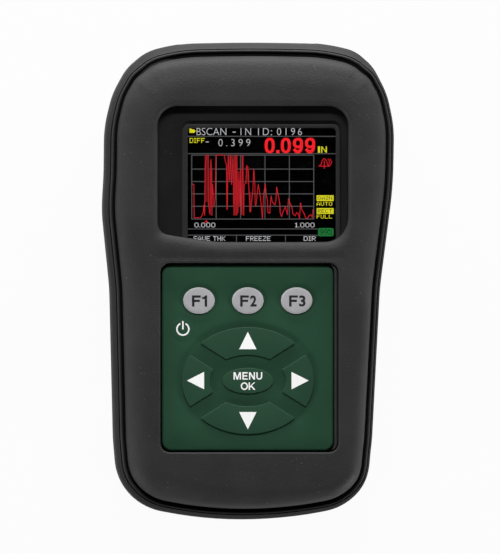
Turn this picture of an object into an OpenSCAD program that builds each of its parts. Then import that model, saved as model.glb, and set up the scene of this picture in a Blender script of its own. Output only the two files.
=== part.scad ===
// Ultrasonic thickness gauge in a moulded rubber boot, in millimetres.
// The gauge lies on its back: +Z leaves the front face and +Y points to the socket end.

/* [Boot] */
// Length over the boot
body_l = 138; // [134:1:150]
// Width over the boot at the display
head_w = 83.4; // [81:0.2:92]
// Width over the boot at the waist, below the display
waist_w = 78; // [75:0.2:80]
// Width that the grip loses from the waist to the bottom corners
grip_taper = 3.6; // [0:0.2:6]
// Radius of the bottom corners
foot_r = 17.5; // [14:0.5:17.5]
// Thickness of the boot's back and sides
boot_wall = 2.8; // [2.4:0.1:3.4]
// Thickness of the boot over the front of the case
boot_front = 3.3; // [2.8:0.1:4.5]
// Radius of the boot's back edge
back_r = 5; // [3:0.5:7]
// Height of the front pillow above the bead
pillow_h = 5.6; // [4.8:0.1:6]
// Width of the pillow's rounded shoulder
shoulder_w = 7.3; // [5:0.1:7.6]
// Width of the band outside the bead
band_w = 1.2; // [0.8:0.1:1.4]
// Width of the bead
bead_w = 0.95; // [0.6:0.05:1.2]
// Width of the groove inside the bead
groove_w = 0.9; // [0.6:0.05:1.2]
// Depth of the groove below the bead
groove_d = 1; // [0.6:0.1:1.2]
// Clearance between the boot and the case
boot_fit = 0.2; // [0.1:0.05:0.4]
// Width of the bar between the two front windows
bridge_w = 6.1; // [5:0.1:8]
// Radius of the lip round the display window
lip_r = 1.6; // [0.8:0.1:1.8]
// Radius of the lip round the keypad window
pad_lip_r = 0.7; // [0.4:0.1:1]

/* [Case] */
// Wall of the case
case_wall = 2.2; // [1.6:0.1:2.8]
// Front wall of the case
front_wall = 3; // [2.6:0.1:4]
// Depth of the rear half, from its back to the parting plane
rear_depth = 9; // [8.5:0.5:11]
// Width of the case's front edge round
edge_w = 6; // [4:0.5:8]
// Height of the case's front edge round
edge_h = 6.5; // [5:0.5:8]
// Radius of the case's back edge
case_r = 4.5; // [3:0.5:6]
// Diameter of the case screws
screw_d = 2.9; // [2.5:0.1:3.2]
// Width of the cord seal between the halves
seal_w = 1; // [0.8:0.1:1.2]
// Depth of the cord seal
seal_d = 0.9; // [0.6:0.1:1.4]

/* [Display] */
// Width of the display window in the boot
window_w = 55.4; // [50:0.2:58]
// Height of the display window in the boot
window_h = 39.4; // [36:0.1:44]
// Offset of the display window from the centre line
window_x = 1.3; // [-1:0.1:2]
// Radius of the display window's upper corners
window_r = 5.8; // [3:0.1:7]
// Radius of the display window's lower left corner
window_left_r = 3.5; // [2:0.1:4]
// Radius of the display window's lower right corner
window_right_r = 7; // [3:0.1:8]
// Rise of the display window's lower edge at its left end
window_rise = 2.65; // [1.5:0.05:3.5]
// Width of that rise
rise_w = 15.9; // [13:0.1:20]
// Width of the visible display
lcd_w = 42.9; // [40:0.1:46]
// Height of the visible display
lcd_h = 35.4; // [33:0.1:38]
// Offset of the display from the centre line
lcd_x = 4.1; // [2:0.1:5]
// Height of the display that the boot's lip covers
lip_cover = 1.8; // [1:0.1:2.4]
// Width of the bevel round the display
bevel_w = 1.35; // [0.8:0.05:2]
// Depth of the lens below the case's face
lens_sink = 1; // [0.6:0.1:1.4]
// Thickness of the lens
lens_t = 1.2; // [0.8:0.1:1.4]
// Thickness of the display glass
lcd_t = 1.6; // [1:0.1:2]
// Border of the display module round the visible part
lcd_rim = 1.8; // [1.4:0.1:2.2]
// Thickness of the foam between lens and display
foam_t = 0.4; // [0.3:0.1:0.8]

/* [Keypad] */
// Width of the keypad panel
pad_w = 49.5; // [47:0.1:50]
// Length of the keypad panel
pad_l = 53.75; // [52:0.05:55]
// Distance of the keypad's centre below the middle of the boot
pad_drop = 22.1; // [21:0.1:23]
// Radius of the keypad's corners
pad_r = 2.8; // [1:0.1:4]
// Height of the keypad above the case's face
pad_proud = 1.9; // [1.2:0.1:2.4]
// Gap from keypad to boot on the left
pad_gap_left = 0.5; // [0.4:0.05:1]
// Gap from keypad to boot on the right
pad_gap_right = 1.4; // [0.4:0.05:1.5]
// Gap from keypad to boot at the two ends
pad_gap_end = 0.4; // [0.3:0.05:0.8]
// Width of the keypad's flange behind the case
flange_w = 1.6; // [1:0.1:1.8]
// Thickness of the keypad's flange
flange_t = 1; // [0.8:0.1:1.5]
// Travel of the keys
key_travel = 0.8; // [0.4:0.1:1.2]
// Height of the keys above the keypad
key_proud = 0.6; // [0.3:0.1:0.9]
// Gap round each key
key_gap = 0.3; // [0.2:0.05:0.4]
// Depth of the moats round the keys
moat_d = 0.5; // [0.3:0.1:0.8]
// Width of the moats round the keys
moat_w = 1.1; // [0.8:0.1:1.3]
// Width of the function keys
fkey_w = 9.1; // [8:0.1:10]
// Length of the function keys
fkey_l = 7.65; // [7:0.05:8.5]
// Pitch of the function keys
fkey_pitch = 14.1; // [13:0.1:15]
// Distance of the function keys above the keypad's centre
fkey_up = 16.45; // [16:0.05:18]
// Diameter of the power key
power_d = 7; // [5:0.1:7.5]
// Distance of the power key left of the keypad's centre
power_left = 18.8; // [18:0.1:20]
// Distance of the power key above the keypad's centre
power_up = 8.2; // [7.6:0.1:8.6]
// Width over the arrow keys
dpad_w = 38; // [35:0.1:39]
// Length over the arrow keys
dpad_l = 30.8; // [28:0.1:31.5]
// Distance of the arrow keys' centre below the keypad's centre
dpad_down = 6.6; // [6.2:0.1:8]
// Width of the ring of arrow keys
dpad_ring = 7.95; // [7:0.05:8.5]
// Width of the gaps between the arrow keys
dpad_gap = 4.4; // [3:0.1:5]
// Shift of the gaps away from the upper and lower arrow keys
dpad_shift = 0.3; // [0:0.05:0.6]
// Slope of the gaps between the arrow keys, in degrees
dpad_slope = 32; // [28:1:36]
// Width of the centre key
ok_w = 14.5; // [13:0.1:15]
// Length of the centre key
ok_l = 7.35; // [6.6:0.05:7.6]

/* [Boards] */
// Thickness of the circuit boards
board_t = 1.6; // [1.2:0.1:2]
// Height between the two boards
link_h = 2; // [1.6:0.1:3]
// Height of the tallest part under the main board
part_h = 3; // [2.4:0.1:4]
// Half of the main board's width
board_x = 28.4; // [28:0.1:29]
// Diameter of the board screws
board_screw_d = 2; // [1.6:0.1:2.4]

/* [Batteries] */
// Diameter of a cell
cell_d = 14.5; // [14:0.1:15.5]
// Length of a cell
cell_l = 50.5; // [49.5:0.1:53]
// Gap between cells
cell_gap = 0.7; // [0.4:0.1:1]
// Clearance round the cells
cell_clear = 0.5; // [0.3:0.1:0.8]
// Length of a compressed contact spring
spring_l = 3.6; // [3:0.1:5]
// Diameter of the spring wire
wire_d = 0.7; // [0.5:0.1:0.8]
// Thickness of the contact plates
plate_t = 0.4; // [0.3:0.1:0.6]
// Wall of the battery bay
bay_wall = 1.4; // [1.2:0.1:1.8]
// Thickness of the battery door
door_t = 2; // [1.8:0.1:2.6]
// Thickness of the door's seal
door_seal_t = 0.6; // [0.4:0.1:0.9]
// Clearance round the battery door
door_gap = 0.3; // [0.2:0.05:0.5]
// Diameter of the door screws
door_screw_d = 3; // [2.5:0.1:3.5]

/* [Sockets] */
// Bore of the transducer sockets
bore_d = 5; // [4:0.1:5.4]
// Depth of that bore
bore_l = 8; // [6:0.1:8.5]
// Distance between the two transducer sockets
socket_pitch = 28; // [26:0.5:32]
// Outer diameter of the socket's thread
thread_d = 8; // [7.6:0.1:8.6]
// Width of the data socket
data_w = 7.6; // [7:0.1:8.4]
// Height of the data socket
data_h = 4; // [3.4:0.1:4.4]

/* [Hidden] */
$fn = 48;

// Heights, from the back of the boot to its front
z_case = boot_wall + boot_fit;
z_floor = z_case + case_wall;
z_split = z_case + rear_depth;
z_door = z_case + door_t;
z_ledge = z_door + door_seal_t;
z_cell = z_door + cell_clear + cell_d / 2;
z_roof = z_cell + cell_d / 2 + cell_clear;
part_clear = 0.4;
z_board = z_roof + bay_wall + part_h + part_clear;
z_link = z_board + board_t;
z_pad_board = z_link + link_h;
z_flange = z_pad_board + board_t;
z_inner = z_flange + flange_t;
z_face = z_inner + front_wall;
z_pad = z_face + pad_proud;
z_top = z_face + boot_fit + boot_front;
z_bead = z_top - pillow_h;
z_groove = z_bead - groove_d;
z_lens = z_face - lens_sink;
z_foam = z_lens - lens_t;
z_glass = z_foam - foam_t;

// Insets from the boot's outline
case_in = boot_wall + boot_fit;
room_in = case_in + case_wall;
foot_in = band_w + bead_w + groove_w;

// Places on the front
half_l = body_l / 2;
head_x = head_w / 2;
waist_x = waist_w / 2;
foot_x = waist_x - grip_taper / 2;
pad_top = pad_l / 2 - pad_drop;
pad_bottom = -pad_l / 2 - pad_drop;
window_bottom = pad_top + pad_gap_end + bridge_w;
lcd_bottom = window_bottom - lip_cover;
lcd_y = lcd_bottom + lcd_h / 2;
module_w = lcd_w + 2 * lcd_rim;
module_h = lcd_h + 2 * lcd_rim;
module_fit = 0.2;
dpad_y = -pad_drop - dpad_down;
fkey_y = -pad_drop + fkey_up;
power_at = [-power_left, -pad_drop + power_up];

// Screws that join the halves, and the bosses that take them
boss_d = 5.6;
boss_in = 12.2;
boss_down = 16;
head_gap = 0.3;
head_seat = 2.4;
screw_bite = 9;
screw_room = 2;
boss_at = [
    [head_x - boss_in, half_l - boss_down],
    [foot_x - boss_in + 0.2, boss_in - half_l],
    [boss_in - 0.2 - foot_x, boss_in - half_l],
    [boss_in - head_x, half_l - boss_down]
];

// Stand-offs that carry the main board, above the display and below the keypad
stand_d = 4.6;
stand_clear = 1.1;
stand_in = 6.5;
stand_x = head_x - boss_in - stand_in;
foot_stand_x = 15;
stand_top = lcd_y + module_h / 2 + stand_clear + stand_d / 2;
stand_bottom = pad_bottom - flange_w - stand_clear - stand_d / 2;
stand_at = [
    [stand_x, stand_top],
    [foot_stand_x, stand_bottom],
    [-foot_stand_x, stand_bottom],
    [-stand_x, stand_top]
];

// Battery bay and its door
bay_w = 3 * cell_d + 2 * cell_gap + 2 * cell_clear;
bay_l = cell_l + spring_l + 2 * plate_t;
bay_bottom = 18.4 - half_l;
bay_top = bay_bottom + bay_l;
door_lap = 0.6;
door_w = bay_w + 2 * (bay_wall + door_lap);
door_bottom = bay_bottom - bay_wall - door_lap;
latch_l = 7.8;
door_top = bay_top + bay_wall + latch_l;
door_screw_at = [16, bay_top + bay_wall + latch_l / 2 + 0.3];
tongue_w = 8;
tongue_l = 2.2;
tongue_t = 1.1;
tongue_x = 12;
frame_w = 2.4;
frame_t = 1.4;

// Sockets in the top end
panel_sink = 0.6;
panel_y = half_l - case_in - panel_sink;
socket_y = half_l - room_in - 0.8;
socket_l = 10;
socket_w = 10.4;
socket_h = 11;
axis_drop = 6;
z_axis = z_board - axis_drop;
nut_t = 1.8;
nut_af = 10;
nose_l = 2.6;
nose_y = panel_y + nose_l;
thread_fit = 0.1;
data_l = 9;
data_fit = 0.3;
slot_side = 7.2;
slot_x = socket_pitch / 2 + slot_side;

// Largest parts on the main board, from the sockets down
can_w = 24;
can_l = 18;
can_wall = 0.3;
can_gap = 5;
can_y = socket_y - socket_l - can_gap - can_l / 2;
chip_w = 13;
chip_t = 1.2;
chip_gap = 5.5;
chip_at = [11, can_y - can_l / 2 - chip_gap - chip_w / 2];
beeper_d = 12;
beeper_at = [-18, chip_at.y];
link_w = 22;
link_l = 4.5;
link_drop = 13.75;

function unit(v) = v / norm(v);
function turned(v, a) = [v.x * cos(a) - v.y * sin(a), v.x * sin(a) + v.y * cos(a)];
function mean(p) = [for (q = p) 1] * p / len(p);

// Arc of radius r that rounds the corner at b between a and c
function fillet(a, b, c, r, n) =
    let(
        u = unit(b - a),
        w = unit(c - b),
        side = u.x * w.y - u.y * w.x < 0 ? -1 : 1,
        turn = acos(u * w),
        p = b - u * r * tan(turn / 2),
        m = p + side * r * [-u.y, u.x]
    )
    [for (k = [0:n]) m + turned(p - m, side * turn * k / n)];

// Closed outline from corners given as [x, y, radius, steps]
function rounded(corners) =
    let(n = len(corners))
    [
        for (i = [0:n - 1])
            let(
                a = corners[(i + n - 1) % n],
                b = corners[i],
                c = corners[(i + 1) % n]
            )
            each fillet([a.x, a.y], [b.x, b.y], [c.x, c.y], b[2], b[3])
    ];

// Outline whose sharp corners alone are rounded
function softened(pts, r) =
    let(n = len(pts))
    [
        for (i = [0:n - 1])
            let(
                a = pts[(i + n - 1) % n],
                b = pts[i],
                c = pts[(i + 1) % n]
            )
            each (unit(b - a) * unit(c - b) < cos(30) ? fillet(a, b, c, r, 3) : [b])
    ];

// Outline moved inwards by d, or outwards where d is negative
function inset(pts, d) =
    let(n = len(pts))
    [
        for (i = [0:n - 1])
            let(
                u = unit(pts[i] - pts[(i + n - 1) % n]),
                w = unit(pts[(i + 1) % n] - pts[i]),
                a = [u.y, -u.x],
                b = [w.y, -w.x]
            )
            pts[i] - d * (a + b) / (1 + a * b)
    ];

// Rings of a loft over an outline, from a profile of [inset, height] steps
function rings(pts, profile) =
    [for (s = profile) [for (q = inset(pts, s[0])) [q.x, q.y, s[1]]]];

function ellipse(a, b, n) = [for (k = [0:n - 1]) [a * cos(360 * k / n), b * sin(360 * k / n)]];
function arc(a, b, from, to, n) =
    [for (k = [0:n]) let(t = from + (to - from) * k / n) [a * cos(t), b * sin(t)]];
function moved(pts, at) = [for (q = pts) q + at];
function box_outline(w, h, r, n) =
    rounded([[-w / 2, -h / 2, r, n], [w / 2, -h / 2, r, n], [w / 2, h / 2, r, n], [-w / 2, h / 2, r, n]]);

// Right half of the boot's outline from bottom to top, then its mirror image
foot_rise = 5.05;
foot_crown = 2.15;
head_drop = 0.67;
head_crown = 0.35;
waist_y = -1.9;
bulge_y = 21.5;
foot_bend = atan((foot_rise + foot_crown) / foot_x);
head_bend = atan((head_drop + head_crown) / (head_x - 12.6));
side_corners = [
    [foot_x, foot_rise - half_l, foot_r, 8],
    [waist_x, waist_y, 80, 3],
    [head_x, bulge_y, 90, 3],
    [head_x, half_l - 22, 36, 3],
    [head_x - 4, half_l - 10.4, 22, 3],
    [head_x - 12.6, half_l - head_drop, 16, 6]
];
outline = rounded([
    [0, -half_l - foot_crown, foot_crown / (1 / cos(foot_bend) - 1), 4],
    for (c = side_corners) c,
    [0, half_l + head_crown, head_crown / (1 / cos(head_bend) - 1), 2],
    for (i = [len(side_corners) - 1:-1:0])
        [-side_corners[i].x, side_corners[i].y, side_corners[i][2], side_corners[i][3]]
]);

// Display window in the boot, whose lower edge rises to the left
window_half = window_w / 2;
rise_r = 60;
window_outline = moved(
    rounded([
        [-window_half, window_rise, window_left_r, 6],
        [rise_w - window_half, 0, rise_r, 4],
        [window_half, 0, window_right_r, 7],
        [window_half, window_h, window_r, 7],
        [-window_half, window_h, window_r, 7]
    ]),
    [window_x, window_bottom]
);

// Keypad window in the boot
hole_w = pad_w + pad_gap_left + pad_gap_right;
hole_l = pad_l + 2 * pad_gap_end;
hole_at = [(pad_gap_right - pad_gap_left) / 2, -pad_drop];
hole_outline = moved(box_outline(hole_w, hole_l, pad_r, 5), hole_at);

// Outlines of the keys
fkey_outline = ellipse(fkey_w / 2, fkey_l / 2, 32);
ok_outline = ellipse(ok_w / 2, ok_l / 2, 36);
function gap_turn(a, b) = atan2(a * sin(dpad_slope), b * cos(dpad_slope));
function gap_half(a, b, g) = asin(g / norm([a * sin(dpad_slope), b * cos(dpad_slope)]));
out_a = dpad_w / 2;
out_b = dpad_l / 2;
in_a = out_a - dpad_ring;
in_b = out_b - dpad_ring;
key_r = 0.4;
up_gap = dpad_gap / 2 - dpad_shift;
side_gap = dpad_gap / 2 + dpad_shift;
up_out = gap_turn(out_a, out_b) + gap_half(out_a, out_b, up_gap);
up_in = gap_turn(in_a, in_b) + gap_half(in_a, in_b, up_gap);
side_out = gap_turn(out_a, out_b) - gap_half(out_a, out_b, side_gap);
side_in = gap_turn(in_a, in_b) - gap_half(in_a, in_b, side_gap);
up_outline = softened(
    concat(arc(out_a, out_b, up_out, 180 - up_out, 12), arc(in_a, in_b, 180 - up_in, up_in, 8)),
    key_r
);
right_outline = softened(
    concat(arc(out_a, out_b, -side_out, side_out, 8), arc(in_a, in_b, side_in, -side_in, 6)),
    key_r
);
up_stem = [0, (out_b + in_b) / 2];
right_stem = [(out_a + in_a) / 2, 0];

// Each key's outline and the foot of its stem, about the keypad's centre line
stem_d = 3.6;
stem_gap = 0.3;
web_t = 1.1;
stop_gap = 0.05;
z_web = z_flange + web_t;
z_key = z_web + key_travel + stop_gap;
z_stem = z_flange + key_travel + stop_gap;
key_set = [
    [moved(fkey_outline, [-fkey_pitch, fkey_y]), [-fkey_pitch, fkey_y]],
    [moved(fkey_outline, [0, fkey_y]), [0, fkey_y]],
    [moved(fkey_outline, [fkey_pitch, fkey_y]), [fkey_pitch, fkey_y]],
    [moved(ellipse(power_d / 2, power_d / 2, 32), power_at), power_at],
    [moved(up_outline, [0, dpad_y]), up_stem + [0, dpad_y]],
    [moved(-up_outline, [0, dpad_y]), -up_stem + [0, dpad_y]],
    [moved(-right_outline, [0, dpad_y]), -right_stem + [0, dpad_y]],
    [moved(right_outline, [0, dpad_y]), right_stem + [0, dpad_y]],
    [moved(ok_outline, [0, dpad_y]), [0, dpad_y]]
];

// Solid skin over a stack of rings, closed by a fan at each end
module loft(stack) {
    n = len(stack[0]);
    m = len(stack);
    points = [for (r = stack) each r, mean(stack[0]), mean(stack[m - 1])];
    faces = [
        for (j = [0:m - 2], i = [0:n - 1])
            let(k = (i + 1) % n)
            each [
                [j * n + i, (j + 1) * n + i, (j + 1) * n + k],
                [j * n + i, (j + 1) * n + k, j * n + k]
            ],
        for (i = [0:n - 1]) [m * n, i, (i + 1) % n],
        for (i = [0:n - 1]) [m * n + 1, (m - 1) * n + (i + 1) % n, (m - 1) * n + i]
    ];
    polyhedron(points, faces);
}

// Straight prism over an outline
module prism(pts, z0, z1) {
    translate([0, 0, z0])
        linear_extrude(z1 - z0)
            polygon(pts);
}

// Box with round upright edges, centred on x and y
module slab(w, l, r, z0, z1) {
    prism(box_outline(w, l, r, 5), z0, z1);
}

// Cylinder along z between two heights
module post(at, d, z0, z1) {
    translate([at.x, at.y, z0])
        cylinder(d = d, h = z1 - z0);
}

// Cylinder along y between two places
module shaft(x, z, d, y0, y1) {
    translate([x, y0, z])
        rotate([-90, 0, 0])
            cylinder(d = d, h = y1 - y0);
}

// Box between two corners
module block(a, b) {
    translate(a)
        cube(b - a);
}

// Screw with its head below its shank and a cross recess in the head
module screw(at, d, head_d, z_head, z_under, z_tip) {
    difference() {
        union() {
            post(at, head_d, z_head, z_under);
            post(at, d, z_under - 0.1, z_tip);
        }
        for (turn = [0, 90])
            translate([at.x, at.y, z_head])
                rotate(turn)
                    cube([head_d * 0.6, head_d * 0.16, (z_under - z_head) * 1.2], center = true);
    }
}

// Profile of the boot's outer skin: back edge, side, band, bead, groove, pillow
boot_profile = [
    for (t = [0:22.5:90]) [back_r * (1 - sin(t)), back_r * (1 - cos(t))],
    [0, z_bead / 2],
    [band_w * 0.3, z_bead * 0.8],
    [band_w, z_bead - 0.5],
    [band_w + 0.1, z_bead - 0.2],
    [band_w + bead_w / 2, z_bead],
    [band_w + bead_w - 0.1, z_bead - 0.2],
    [band_w + bead_w + 0.1, z_groove + 0.1],
    [band_w + bead_w + groove_w / 2, z_groove],
    for (t = [0:15:90])
        [foot_in + shoulder_w * (1 - cos(t)), z_groove + 0.3 + (z_top - z_groove - 0.3) * sin(t)]
];

// Profile of the case, grown by g on every side
function back_profile(g) =
    [for (t = [0:22.5:90]) [case_in + case_r - (case_r + g) * sin(t), z_case + case_r - (case_r + g) * cos(t)]];
function front_profile(g) =
    [for (t = [0:22.5:90]) [case_in + edge_w - (edge_w + g) * cos(t), z_face - edge_h + (edge_h + g) * sin(t)]];

// Cutter that leaves a rounded lip round a window in the boot's front
module lipped(pts, r, z0) {
    loft(rings(pts, [
        [0, z0],
        for (t = [0:25:75]) [-r * (1 - cos(t)), z_top - r * (1 - sin(t))],
        [-r * (1 - cos(75)) - 2, z_top + 0.5]
    ]));
}

module rubber_boot() {
    color("#353535")
        difference() {
            loft(rings(outline, boot_profile));
            loft(rings(outline, concat(back_profile(boot_fit), front_profile(boot_fit))));
            lipped(window_outline, lip_r, z_face - 1);
            lipped(hole_outline, pad_lip_r, z_face - 1);
            // Slot over the sockets
            translate([0, half_l + 2, (z_axis + z_board) / 2 - 2.6])
                rotate([90, 0, 0])
                    linear_extrude(case_in + 4)
                        polygon(box_outline(2 * slot_x, z_board - z_axis + 7.4, 2.5, 5));
            // Window over the battery door
            translate([0, (door_top + door_bottom) / 2, 0])
                slab(door_w + 2, door_top - door_bottom + 2, 3, -1, z_case + 0.1);
        }
}

module rear_case() {
    color("#202020")
        difference() {
            union() {
                difference() {
                    loft(rings(outline, concat(back_profile(0), [[case_in, z_split]])));
                    prism(inset(outline, room_in), z_floor, z_split + 1);
                }
                // Battery bay with its roof
                block(
                    [-bay_w / 2 - bay_wall, bay_bottom - bay_wall, z_floor - 0.5],
                    [bay_w / 2 + bay_wall, bay_top + bay_wall, z_roof + bay_wall]
                );
                // Thick frame round the door
                block(
                    [-door_w / 2 - frame_w, door_bottom - tongue_l - frame_w, z_case + 0.5],
                    [door_w / 2 + frame_w, door_top + frame_w, z_ledge + frame_t]
                );
                for (at = boss_at)
                    post(at, boss_d + 2.4, z_floor - 0.5, z_split);
                for (s = [-1, 1])
                    post([s * door_screw_at.x, door_screw_at.y], door_screw_d + 3, z_floor, z_ledge + 6);
            }
            // Room for the cells
            block([-bay_w / 2, bay_bottom, z_case - 1], [bay_w / 2, bay_top, z_roof]);
            // Seat of the door, with pockets for its tongues
            translate([0, (door_top + door_bottom) / 2, 0])
                slab(door_w + 2 * door_gap, door_top - door_bottom + 2 * door_gap, 2, z_case - 1, z_ledge);
            for (s = [-1, 1]) {
                translate([s * tongue_x, door_bottom - tongue_l / 2, 0])
                    slab(
                        tongue_w + 2 * door_gap, tongue_l + 4 * door_gap, 0.3,
                        z_door - tongue_t - door_gap, z_ledge
                    );
                post([s * door_screw_at.x, door_screw_at.y], door_screw_d + 0.1, z_ledge - 1, z_ledge + 5);
            }
            for (at = boss_at) {
                post(at, screw_d + 0.5, z_case - 1, z_split + 1);
                post(at, screw_d * 1.8 + 0.4, z_case - 1, z_case + head_seat);
            }
            seal_ring(0.05, z_split - seal_d, z_split + 1);
        }
}

// Ring that runs in the middle of the case's wall
module seal_ring(g, z0, z1) {
    mid = case_in + case_wall / 2;
    difference() {
        prism(inset(outline, mid - seal_w / 2 - g), z0, z1);
        prism(inset(outline, mid + seal_w / 2 + g), z0 - 1, z1 + 1);
    }
}

module case_seal() {
    color("#5a5a5a")
        seal_ring(0, z_split - seal_d, z_split);
}

module front_case() {
    color("#1b1b1b")
        difference() {
            union() {
                difference() {
                    loft(rings(outline, concat([[case_in, z_split]], front_profile(0))));
                    prism(inset(outline, room_in), z_split - 1, z_inner);
                }
                for (at = boss_at)
                    post(at, boss_d, z_split, z_inner + 0.5);
                for (at = stand_at)
                    post(at, stand_d, z_link, z_inner + 0.5);
            }
            for (at = boss_at)
                post(at, screw_d + 0.1, z_split - 1, z_split + screw_bite + screw_room);
            for (at = stand_at)
                post(at, board_screw_d + 0.1, z_link - 1, z_link + 4);
            // Pocket for the display, and the bevelled opening in front of it
            translate([lcd_x, lcd_y, 0]) {
                slab(module_w + 2 * module_fit, module_h + 2 * module_fit, 1, z_inner - 1, z_lens);
                loft(rings(box_outline(lcd_w, lcd_h, 1, 4), [
                    [0, z_lens - 0.5],
                    [0, z_lens + 0.15],
                    [-bevel_w, z_face],
                    [-bevel_w - 0.5, z_face + 0.5]
                ]));
            }
            // Opening for the keypad
            translate([0, -pad_drop, 0])
                slab(pad_w + 0.3, pad_l + 0.3, pad_r, z_inner - 1, z_face + 1);
            // Flat for the sockets, with their holes
            block(
                [-slot_x + 0.6, panel_y, z_axis - 6.2],
                [slot_x - 0.6, half_l, z_board + 0.8]
            );
            for (s = [-1, 1])
                shaft(s * socket_pitch / 2, z_axis, thread_d + 2 * thread_fit, socket_y - 1, half_l);
            block(
                [-data_w / 2 - data_fit, socket_y - 2, z_board - data_h - data_fit],
                [data_w / 2 + data_fit, half_l, z_board + data_fit]
            );
        }
}

module case_screws() {
    color("#b8b8b8")
        for (at = boss_at)
            screw(at, screw_d, screw_d * 1.8, z_case + head_gap, z_case + head_seat, z_split + screw_bite);
}

module battery_door() {
    color("#262626")
        difference() {
            union() {
                translate([0, (door_top + door_bottom) / 2, 0])
                    slab(door_w, door_top - door_bottom, 2, z_case, z_door);
                for (s = [-1, 1])
                    translate([s * tongue_x, door_bottom - tongue_l / 2, 0])
                        slab(tongue_w, tongue_l + 2, 0.8, z_door - tongue_t, z_door);
            }
            for (s = [-1, 1]) {
                post([s * door_screw_at.x, door_screw_at.y], door_screw_d + 0.4, z_case - 1, z_door + 1);
                post([s * door_screw_at.x, door_screw_at.y], door_screw_d * 1.8 + 0.4, z_case - 1, z_case + 1);
            }
            // Ribs that a thumb can push against
            for (k = [0:4])
                block(
                    [-6, door_screw_at.y - 2.2 + k * 1.1 - 0.3, z_case - 1],
                    [6, door_screw_at.y - 2.2 + k * 1.1 + 0.3, z_case + 0.5]
                );
        }
}

module battery_door_seal() {
    color("#5a5a5a")
        difference() {
            block(
                [-bay_w / 2 - bay_wall, bay_bottom - bay_wall, z_door],
                [bay_w / 2 + bay_wall, bay_top + bay_wall, z_ledge]
            );
            block([-bay_w / 2, bay_bottom, z_door - 1], [bay_w / 2, bay_top, z_ledge + 1]);
        }
}

module battery_door_screws() {
    color("#b8b8b8")
        for (s = [-1, 1])
            screw(
                [s * door_screw_at.x, door_screw_at.y], door_screw_d, door_screw_d * 1.8,
                z_case + 0.1, z_case + 1, z_ledge + 4
            );
}

// One cell along y, with its cap towards +y or -y
module cell(i) {
    cap_l = 1;
    cap_d = cell_d * 0.38;
    up = i != 1;
    y0 = up ? bay_bottom + plate_t + spring_l : bay_bottom + plate_t;
    x = (i - 1) * (cell_d + cell_gap);
    shaft(x, z_cell, cell_d, up ? y0 : y0 + cap_l, up ? y0 + cell_l - cap_l : y0 + cell_l);
    shaft(x, z_cell, cap_d, up ? y0 + cell_l - cap_l - 0.1 : y0, up ? y0 + cell_l : y0 + cap_l + 0.1);
}

module battery_1() {
    color("#6f7a52")
        cell(0);
}

module battery_2() {
    color("#6f7a52")
        cell(1);
}

module battery_3() {
    color("#6f7a52")
        cell(2);
}

// Conical coil along y: the wide end stands on the plate
module coil(x, y, dir) {
    steps = 10;
    turns = 3;
    wide = cell_d * 0.34;
    narrow = cell_d * 0.22;
    free_l = spring_l - wire_d - 0.1;
    stack = [
        for (k = [0:steps * turns])
            let(
                t = k / (steps * turns),
                a = 360 * turns * t,
                r = wide + (narrow - wide) * t,
                h = wire_d / 2 + 0.05 + free_l * t
            )
            [
                for (j = [0:5])
                    let(q = r + wire_d / 2 * cos(60 * j))
                    [q * cos(a), q * sin(a), h - wire_d / 2 * sin(60 * j)]
            ]
    ];
    translate([x, y, z_cell])
        rotate([dir > 0 ? -90 : 90, 0, 0])
            loft(stack);
}

module battery_springs() {
    color("#c9c9c9")
        for (i = [0:2])
            coil(
                (i - 1) * (cell_d + cell_gap),
                i != 1 ? bay_bottom + plate_t : bay_top - plate_t,
                i != 1 ? 1 : -1
            );
}

// Contact plates in series: two pairs and two single ends
module battery_contacts() {
    pitch = cell_d + cell_gap;
    half = cell_d * 0.4;
    color("#c9c9c9") {
        for (p = [[-1, 0], [1, 1]])
            block(
                [p[0] * pitch - half, bay_bottom, z_cell - half],
                [p[1] * pitch + half, bay_bottom + plate_t, z_cell + half]
            );
        for (p = [[-1, -1], [0, 1]])
            block(
                [p[0] * pitch - half, bay_top - plate_t, z_cell - half],
                [p[1] * pitch + half, bay_top, z_cell + half]
            );
    }
}

module main_board() {
    color("#1f5a3a")
        difference() {
            union() {
                intersection() {
                    prism(inset(outline, room_in + 0.8), z_board, z_link);
                    block([-board_x, stand_bottom - stand_d / 2 - 0.6, z_board - 1], [board_x, socket_y - 2.6, z_link + 1]);
                }
                // Connector for the display's ribbon
                block(
                    [lcd_x - 9, stand_top - 0.6, z_link - 0.1],
                    [lcd_x + 9, stand_top + 3.4, z_link + 1.2]
                );
            }
            for (at = boss_at)
                post(at, boss_d + 1.4, z_board - 1, z_link + 1);
            for (at = stand_at)
                post(at, board_screw_d + 0.3, z_board - 1, z_link + 1);
        }
}

module board_screws() {
    color("#b8b8b8")
        for (at = stand_at)
            screw(at, board_screw_d, board_screw_d * 1.9, z_board - 1.5, z_board, z_link + 3.6);
}

// Drawn can with round corners over the receiver
module shield_can() {
    color("#b9bcc0")
        difference() {
            translate([0, can_y, 0])
                slab(can_w, can_l, 1, z_board - part_h, z_board);
            translate([0, can_y, 0])
                slab(can_w - 2 * can_wall, can_l - 2 * can_wall, 0.7, z_board - part_h + can_wall, z_board + 1);
        }
}

module processor() {
    color("#17181a")
        translate([chip_at.x, chip_at.y, 0])
            slab(chip_w, chip_w, 0.4, z_board - chip_t, z_board);
}

module beeper() {
    color("#222222")
        difference() {
            post(beeper_at, beeper_d, z_board - part_h, z_board);
            post(beeper_at, beeper_d / 6, z_board - part_h - 1, z_board - part_h + 0.8);
        }
}

module display_frame() {
    color("#d8d8d2")
        translate([lcd_x, lcd_y, 0])
            slab(module_w, module_h, 0.8, z_link, z_glass - lcd_t);
}

module display_panel() {
    color("#0a0a0c")
        translate([lcd_x, lcd_y, 0])
            slab(module_w, module_h, 0.6, z_glass - lcd_t, z_glass);
}

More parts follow.
